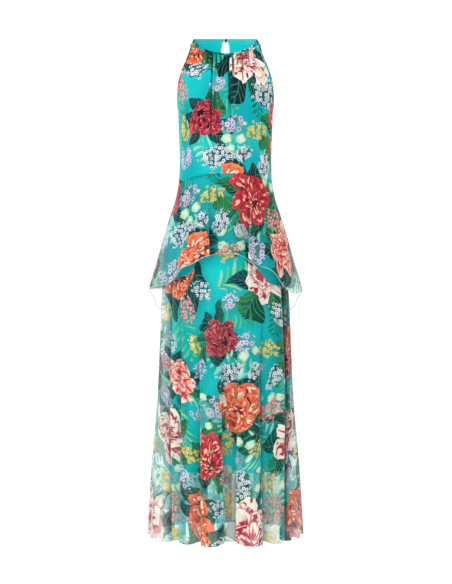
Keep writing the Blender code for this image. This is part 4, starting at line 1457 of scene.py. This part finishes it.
def make_stitches(name, lines, material):
    """Rows of stitches, each a path and the directions out of the cloth, joined into one piece."""
    loops = np.array([stitch for line in lines for stitch in stitch_loops(*line)])
    count, rings, sides = loops.shape[:3]
    firsts = range(0, count * rings * sides, rings * sides)
    faces = [face for first in firsts for face in rod_faces(rings, sides, first=first)]
    return make_mesh(name, loops, faces, [material])


# Cross-sections of the neckband and the bindings: share of the way up from the seam, and millimetres out
BAND_SECTION = (
    (0.03, 0.55), (0.10, 0.95), (0.30, 1.10), (0.60, 1.10), (0.85, 0.95), (0.96, 0.60), (1.00, 0.00),
    (0.96, -0.60), (0.85, -0.85), (0.50, -0.95), (0.15, -0.85), (0.04, -0.50),
)
BINDING_SECTION = (
    (0.02, 0.35), (0.08, 0.75), (0.30, 0.95), (0.65, 0.95), (0.88, 0.80), (0.97, 0.45), (1.00, -0.10),
    (0.95, -0.65), (0.80, -0.90), (0.45, -0.95), (0.12, -0.85), (0.03, -0.45),
)
# Puckers: their height on the neckband, and the share of it on a binding. Each wave has a height, a pitch and
# a start, and the neckband's fade away from the front.
PUCKER, BINDING_PUCKER = 0.00045, 0.5
BAND_WAVES = ((1.0, 1.05, 0.6), (0.6, 2.31, 0.0), (0.4, 3.7, 1.0))
BINDING_WAVES = ((1.0, 23, 0.0), (0.6, 41, 1.0))
PUCKER_FRONT = 1.6
BAND_GRIP = 0.0008
BAND_LINED_FROM = 6
BAND_ENDS = (0.0038, 0.0061)
NECK_SIDE_TOP, NECK_BACK_TOP = -0.0014, 0.0100
BAND_THREAD, BINDING_THREAD = 0.00108, 0.00094
BAND_STITCHES, BINDING_STITCHES = (0.16, 0.82), (0.14, 0.80)
NEAR_EDGE = 0.955
EDGE_PASSES, INWARD_PASSES, NORMAL_PASSES = 3, 6, 14
ARMHOLE_POINTS, BINDING_POINTS = 160, 300


def waves(turn, rows):
    """A sum of waves, each with a height, a pitch and a start."""
    return sum(height * np.sin(turn * pitch + start) for height, pitch, start in rows)


def band_loops(low, high, section, out, ripple):
    """Cross-sections of a folded band between its seam and its free edge."""
    share, stand = np.array(section).T[:, None, :, None]
    swell = ripple[:, None, None] * np.sin(math.pi * np.clip(share, 0.05, 0.95))
    return low[:, None] + (high - low)[:, None] * share + out[:, None] * (stand / 1000 + swell)


def neck_lines():
    """The neckband's seam, its free edge, and the directions out of it, from the keyhole round the front."""
    left, right = (math.degrees(math.asin(end / NECK_HALF_WIDTH)) for end in BAND_ENDS)
    angle = np.linspace(-180 + left, 180 - right, BAND_COLUMNS)
    low = oval(angle, SEWN_HALF_WIDTH, SEWN_FRONT, SEWN_BACK)
    low[:, 2] = edge_height(angle, SEWN_SIDE_Z, SEWN_FRONT_Z, SEWN_BACK_Z)
    high = oval(angle, NECK_HALF_WIDTH, NECK_FRONT, NECK_BACK)
    level = NECK_SIDE_TOP + (NECK_BACK_TOP - NECK_SIDE_TOP) * np.abs(np.cos(np.radians(angle))) ** SQUARENESS
    front = edge_height(angle, NECK_SIDE_TOP, NECK_FRONT_Z, NECK_BACK_Z)
    high[:, 2] = np.where(np.abs(angle) > 90, level, front)
    out = unit(np.cross(unit(np.gradient(low, axis=0)), high - low))
    out *= np.sign((out[:, :2] * low[:, :2]).sum(1))[:, None]
    return angle, low, high, out


def make_neckband(thread):
    """The neckband, its stitches and its length."""
    angle, low, high, out = neck_lines()
    length = lengths_along(low)[-1]
    low = low - unit(high - low) * BAND_GRIP
    front = np.clip(np.cos(np.radians(angle)) * PUCKER_FRONT, 0, 1)
    ripple = PUCKER * front * waves(angle, BAND_WAVES)
    high = high + (0, 0, 1) * (ripple * 0.8)[:, None]
    made = printed_band("neckband", band_loops(low, high, BAND_SECTION, out, ripple), False)
    rows = []
    for share in BAND_STITCHES:
        stand = BAND_THREAD + ripple * np.sin(math.pi * share)
        rows.append((low + (high - low) * share + out * stand[:, None], out))
    return made, make_stitches("neckband_stitches", rows, thread), length


def armhole_edge(side):
    """The edge of the bodice round an armhole, and the direction out of the cloth there."""
    lines = np.linspace(0, UNDERARM_ROW, ARMHOLE_POINTS)
    edges, normals = [], []
    for back in (False, True):
        near = bodice_surface(lines, np.array([[side * NEAR_EDGE, side]]), back)
        normal = unit(np.cross(np.gradient(near[:, 1], axis=0), near[:, 1] - near[:, 0]))
        edges.append(near[:, 1])
        normals.append(normal * np.sign(normal[:, :1] * side + 1e-9))
    edge, normal = (np.concatenate([front, back[-2:0:-1]]) for front, back in (edges, normals))
    return edge, unit(smooth_ring(normal, NORMAL_PASSES))


def make_armhole_binding(name, side, thread):
    """A binding, its stitches and its length."""
    edge, normal = (closed_path(values) for values in armhole_edge(side))
    marks = lengths_along(edge)
    length = lengths_along(edge[:-1])[-1]
    at = np.linspace(0, marks[-1], BINDING_POINTS, endpoint=False)
    edge, normal = smooth_ring(read_along(at, marks, edge), EDGE_PASSES), read_along(at, marks, normal)
    inward = unit(np.cross(normal, unit(np.roll(edge, -1, 0) - np.roll(edge, 1, 0))))
    middle = (edge.max(0) + edge.min(0)) / 2
    inward *= np.sign((inward * (middle - edge)).sum(1))[:, None]
    inward = unit(smooth_ring(inward, INWARD_PASSES))
    normal = unit(normal - inward * (normal * inward).sum(1)[:, None])
    low = edge - inward * BAND_GRIP
    high = edge + inward * (TRIM_GAP + BINDING_WIDTH)
    turn = whole_turn(BINDING_POINTS)
    ripple = PUCKER * BINDING_PUCKER * waves(turn, BINDING_WAVES)
    made = printed_band(name, band_loops(low, high, BINDING_SECTION, normal, ripple), True)
    rows = [(closed_path(low + (high - low) * share + normal * BINDING_THREAD), closed_path(normal))
            for share in BINDING_STITCHES]
    return made, make_stitches(f"{name}_stitches", rows, thread), length


HEM_ROLL = 0.00072
HEM_DROP = 0.0003


def make_hem(name, points, material):
    """The rolled hem along the last row of a panel's points."""
    path = points[-1] - (0.0, 0.0, HEM_DROP)
    return tube(f"{name}_hem", path - unit(path * (1, 1, 0)) * CLOTH_WALL / 2, HEM_ROLL, material)


# Profile of the button: radius and distance from its back, in button radii
BUTTON_PROFILE = np.array((
    (0.00, -0.92), (0.30, -0.92), (0.34, -0.80), (0.36, -0.62), (0.62, -0.55), (0.86, -0.34), (0.98, -0.08),
    (1.00, 0.12), (0.94, 0.30), (0.86, 0.40), (0.80, 0.42), (0.74, 0.40), (0.60, 0.52), (0.36, 0.66),
    (0.00, 0.72),
))
BUTTON_TURNS = 40


def make_button(material):
    """A small domed button on a shank, with a turned rim, facing out at the back."""
    turn, (radius, height) = whole_turn(BUTTON_TURNS), BUTTON_PROFILE.T[:, :, None]
    rings = stack(radius * np.cos(turn), height, radius * np.sin(turn))
    points = np.concatenate([rings[1:-1].reshape(-1, 3), rings[[0, -1], 0]])
    faces = grid_faces(len(rings) - 2, BUTTON_TURNS, ring=True)[:, [0, 3, 2, 1]].tolist()
    back, front = len(points) - 2, len(points) - 1
    last = back - BUTTON_TURNS
    for step in range(BUTTON_TURNS):
        after = (step + 1) % BUTTON_TURNS
        faces += [(step, back, after), (last + step, last + after, front)]
    points = points * BUTTON_RADIUS + (BUTTON_X, SEWN_BACK, BUTTON_Z)
    return make_mesh("button_turned", points, faces, [material])


STRAND_OFFSET, STRAND_RADIUS = 0.46, 0.54
LOOP_TWISTS = 16
LOOP_POINTS = 96


def make_button_loop(material):
    """A twisted cord loop round the button."""
    turn = whole_turn(LOOP_POINTS)
    middle = np.array((BUTTON_X / 2, SEWN_BACK + SEAM_GAP + 2 * LOOP_CORD, BUTTON_Z))
    ring = stack(LOOP_HALF_WIDTH * np.cos(turn), 0.0, LOOP_HALF_HEIGHT * np.sin(turn))
    for strand in range(2):
        phase = turn * LOOP_TWISTS + strand * math.pi
        away = np.cos(phase)[:, None] * unit(ring) + stack(0.0, np.sin(phase), 0.0)
        path = middle + ring + LOOP_CORD * STRAND_OFFSET * away
        yield tube(f"button_loop_strand_{strand}", path, LOOP_CORD * STRAND_RADIUS, material, closed=True)


# The dress

FOLDED_BAND = 0.010
PEPLUM_COVER = 0.022
PEPLUM_CORNER_X, PEPLUM_CORNER_Z = 0.150, -0.735
BUTTON_ROUGHNESS, BUTTON_SPECULAR = 0.28, 0.5

# Where each piece lies on the print, in metres across and down
PRINT_SHIFTS = {
    "bodice_front": (0.30, 0.10),
    "bodice_back": (0.10, 0.40),
    "peplum_front": (0.44, 0.27),
    "peplum_back": (0.05, 0.20),
    "skirt_front": (0.26, 0.55),
    "skirt_back": (0.48, 0.05),
    "neckband": (0.10, 0.225),
    "armhole_binding_left": (0.00, 0.32),
    "armhole_binding_right": (0.20, 0.56),
}


def ride(made, slot, *nodes):
    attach(made, "root")
    if nodes:
        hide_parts(*nodes)
    return made


def declare(made, width, length, held, rests_on, with_pieces=()):
    """Works out a piece's flat area from half of a closed wall's faces, at most width by length, and keeps
    nothing.
    """
    area = min(sum(face.area for face in made.data.polygons) / 2, width * length)
    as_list(rests_on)
    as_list(with_pieces)


def flat_size(surface):
    """The widest row of a grid of points by its longest column, or the span of the points' flat places."""
    points, places, _ = surface
    if points.ndim == 2:
        return np.ptp(places, axis=0)
    return [np.linalg.norm(np.diff(points, axis=axis), axis=2).sum(axis).max() for axis in (1, 0)]


def make_bodice():
    plain = plain_material("lining_cloth", LINING_TONE, weave=True)
    back_lining = bodice_back_halves(inset=CAD_WALL + LAYER_GAP, top_share=0.5)
    for name, surface, cloth, slot, held in (
        ("bodice_front", bodice_front_sheet(), None, "printed_chiffon", "gathered"),
        ("bodice_back", bodice_back_halves(), None, "printed_chiffon", "hung"),
        ("back_lining", back_lining, plain, "lining_cloth", "hung"),
    ):
        made = ride(make_cloth(name, surface, cloth), slot, name)
        declare(made, *flat_size(surface), held, ["neckband"])


def bare_faces(kind, back, surface):
    """The faces with no motifs: the skirt's that the peplum covers, and the back peplum's side points."""
    points, _, quads = surface
    x, y, z = points.reshape(-1, 3)[quads].mean(1).T
    if kind == "skirt":
        return z > peplum_hem(np.degrees(np.arctan2(x, -y))) + PEPLUM_COVER
    return (np.abs(x) > PEPLUM_CORNER_X) & (z < PEPLUM_CORNER_Z) if back else None


def make_panels():
    hem_cloth = plain_material("rolled_hem", HEM_TONE, weave=True)
    plain = plain_material("lining_cloth", LINING_TONE, weave=True)
    for half, back in (("front", False), ("back", True)):
        for kind, layer in (("peplum", PEPLUM), ("skirt", SKIRT), ("skirt_lining", SKIRT_LINING)):
            name, surface = f"{kind}_{half}", hanging_surface(layer, back)
            if layer is SKIRT_LINING:
                slot, made = "lining_cloth", make_cloth(name, surface, plain)
            else:
                reverse = BACK_REVERSE if back else FRONT_REVERSE
                made = make_cloth(name, surface, None, reverse, bare_faces(kind, back, surface))
                slot = "printed_chiffon"
            ride(made, slot, name)
            hem = ride(make_hem(name, surface[0], plain if layer is SKIRT_LINING else hem_cloth), slot)
            declare(made, *flat_size(surface), "hung", [f"bodice_{half}"], [hem])


def make_trims():
    thread = plain_material("thread", THREAD_TONE)
    bands = {"neckband": ("gathered", make_neckband(thread))}
    for name, side in (("armhole_binding_left", 1), ("armhole_binding_right", -1)):
        bands[name] = ("hung", make_armhole_binding(name, side, thread))
    for name, (held, (band, stitches, length)) in bands.items():
        ride(band, "printed_trim", name)
        ride(stitches, "printed_trim")
        declare(band, length, FOLDED_BAND, held, ["bodice_front", "bodice_back"], [stitches])
    dark = plain_material("button_dark", BUTTON_TONE, roughness=BUTTON_ROUGHNESS, specular=BUTTON_SPECULAR)
    ride(make_button(dark), "button_dark", "button")
    first, second = make_button_loop(plain_material("printed_trim", TRIM_TONE, weave=True))
    ride(first, "printed_trim", "button_loop")
    ride(second, "printed_trim")


# Stage

BOWL_PROFILE = np.array((
    (0.0, 0.0), (5.5, 0.0), (6.6, 0.12), (7.5, 0.5), (8.1, 1.2), (8.4, 2.2), (8.5, 3.6), (8.5, 6.0),
))
BOWL_ROWS, BOWL_TURNS = 60, 96
BOWL_MIDDLE = 0.02
SEEN_WHITE, LIT_WHITE = 1.08, 0.79
WORLD_STRENGTH = 0.84
WHITE = (1.0, 1.0, 1.0, 1.0)
STUDIO_TONE = (0.02, 0.02, 0.02, 1.0)
CLEAR_LAYERS = 32


def make_stage():
    """A round white studio: a flat floor that curves up into a wall."""
    rows = np.linspace(0, len(BOWL_PROFILE) - 1, BOWL_ROWS)
    given = np.arange(len(BOWL_PROFILE), dtype=float)
    radius, height = (smooth_curve(given, held, rows)[:, None] for held in BOWL_PROFILE.T)
    turn, radius = whole_turn(BOWL_TURNS)[None, :], np.maximum(radius, BOWL_MIDDLE)
    points = stack(radius * np.cos(turn), radius * np.sin(turn), FLOOR_Z + height)
    faces = grid_faces(BOWL_ROWS, BOWL_TURNS, ring=True).tolist() + [list(range(BOWL_TURNS))]
    material, graph, inputs = new_material("studio_white", 1.0, specular=0.0)
    seen = graph.node("ShaderNodeLightPath", "Is Camera Ray", {}, {})
    plug(graph.tree, inputs["Emission Strength"], seen * (SEEN_WHITE - LIT_WHITE) + LIT_WHITE)
    inputs["Emission Color"].default_value = WHITE
    inputs["Base Color"].default_value = STUDIO_TONE
    make_mesh("studio_floor", points, faces, [material], np.zeros(len(faces), int))


# Soft lights: place, the height that they point at on the dress's axis, size and power
Light = namedtuple("Light", "name x y z aim_z width height power")
LIGHTS = named(
    Light,
    ("key_left", -3.4, -2.5, -0.2, -0.75, 1.0, 3.0, 64.0),
    ("fill_right", 3.4, -3.0, -0.3, -0.8, 2.2, 2.6, 19.0),
    ("front_soft", 0.0, -4.8, 0.0, -0.9, 3.0, 2.4, 30.0),
    ("back_left", -2.4, 3.4, 0.2, -0.7, 2.0, 2.4, 50.0),
    ("back_right", 2.8, 3.2, 0.0, -0.7, 2.0, 2.4, 30.0),
)


def make_lights():
    for row in LIGHTS:
        data = bpy.data.lights.new(row.name, "AREA")
        data.shape = "RECTANGLE"
        data.size, data.size_y = row.width, row.height
        data.energy = row.power
        light = bpy.data.objects.new(row.name, data)
        light.location = (row.x, row.y, row.z)
        aim = Vector((0, 0, row.aim_z)) - light.location
        light.rotation_euler = aim.to_track_quat("-Z", "Y").to_euler()
        light.visible_camera = False
        bpy.context.scene.collection.objects.link(light)


def make_world():
    world = bpy.data.worlds.new("studio_light")
    world.use_nodes = True
    background = world.node_tree.nodes["Background"]
    background.inputs["Color"].default_value = WHITE
    background.inputs["Strength"].default_value = WORLD_STRENGTH
    bpy.context.scene.world = world


def make_camera():
    data = bpy.data.cameras.new("camera")
    data.sensor_width = SENSOR
    data.lens = FOCAL_PIXELS * SENSOR / IMAGE_HEIGHT
    camera = bpy.data.objects.new("camera", data)
    camera.location = (CAMERA_X, -CAMERA_DISTANCE, CAMERA_HEIGHT)
    camera.rotation_euler = (math.radians(90), 0, 0)
    bpy.context.scene.collection.objects.link(camera)
    bpy.context.scene.camera = camera


for make in (make_bodice, make_trims, make_panels, make_stage, make_lights, make_world, make_camera):
    make()
bpy.context.scene.view_settings.view_transform = "Standard"
bpy.context.scene.cycles.transparent_max_bounces = CLEAR_LAYERS
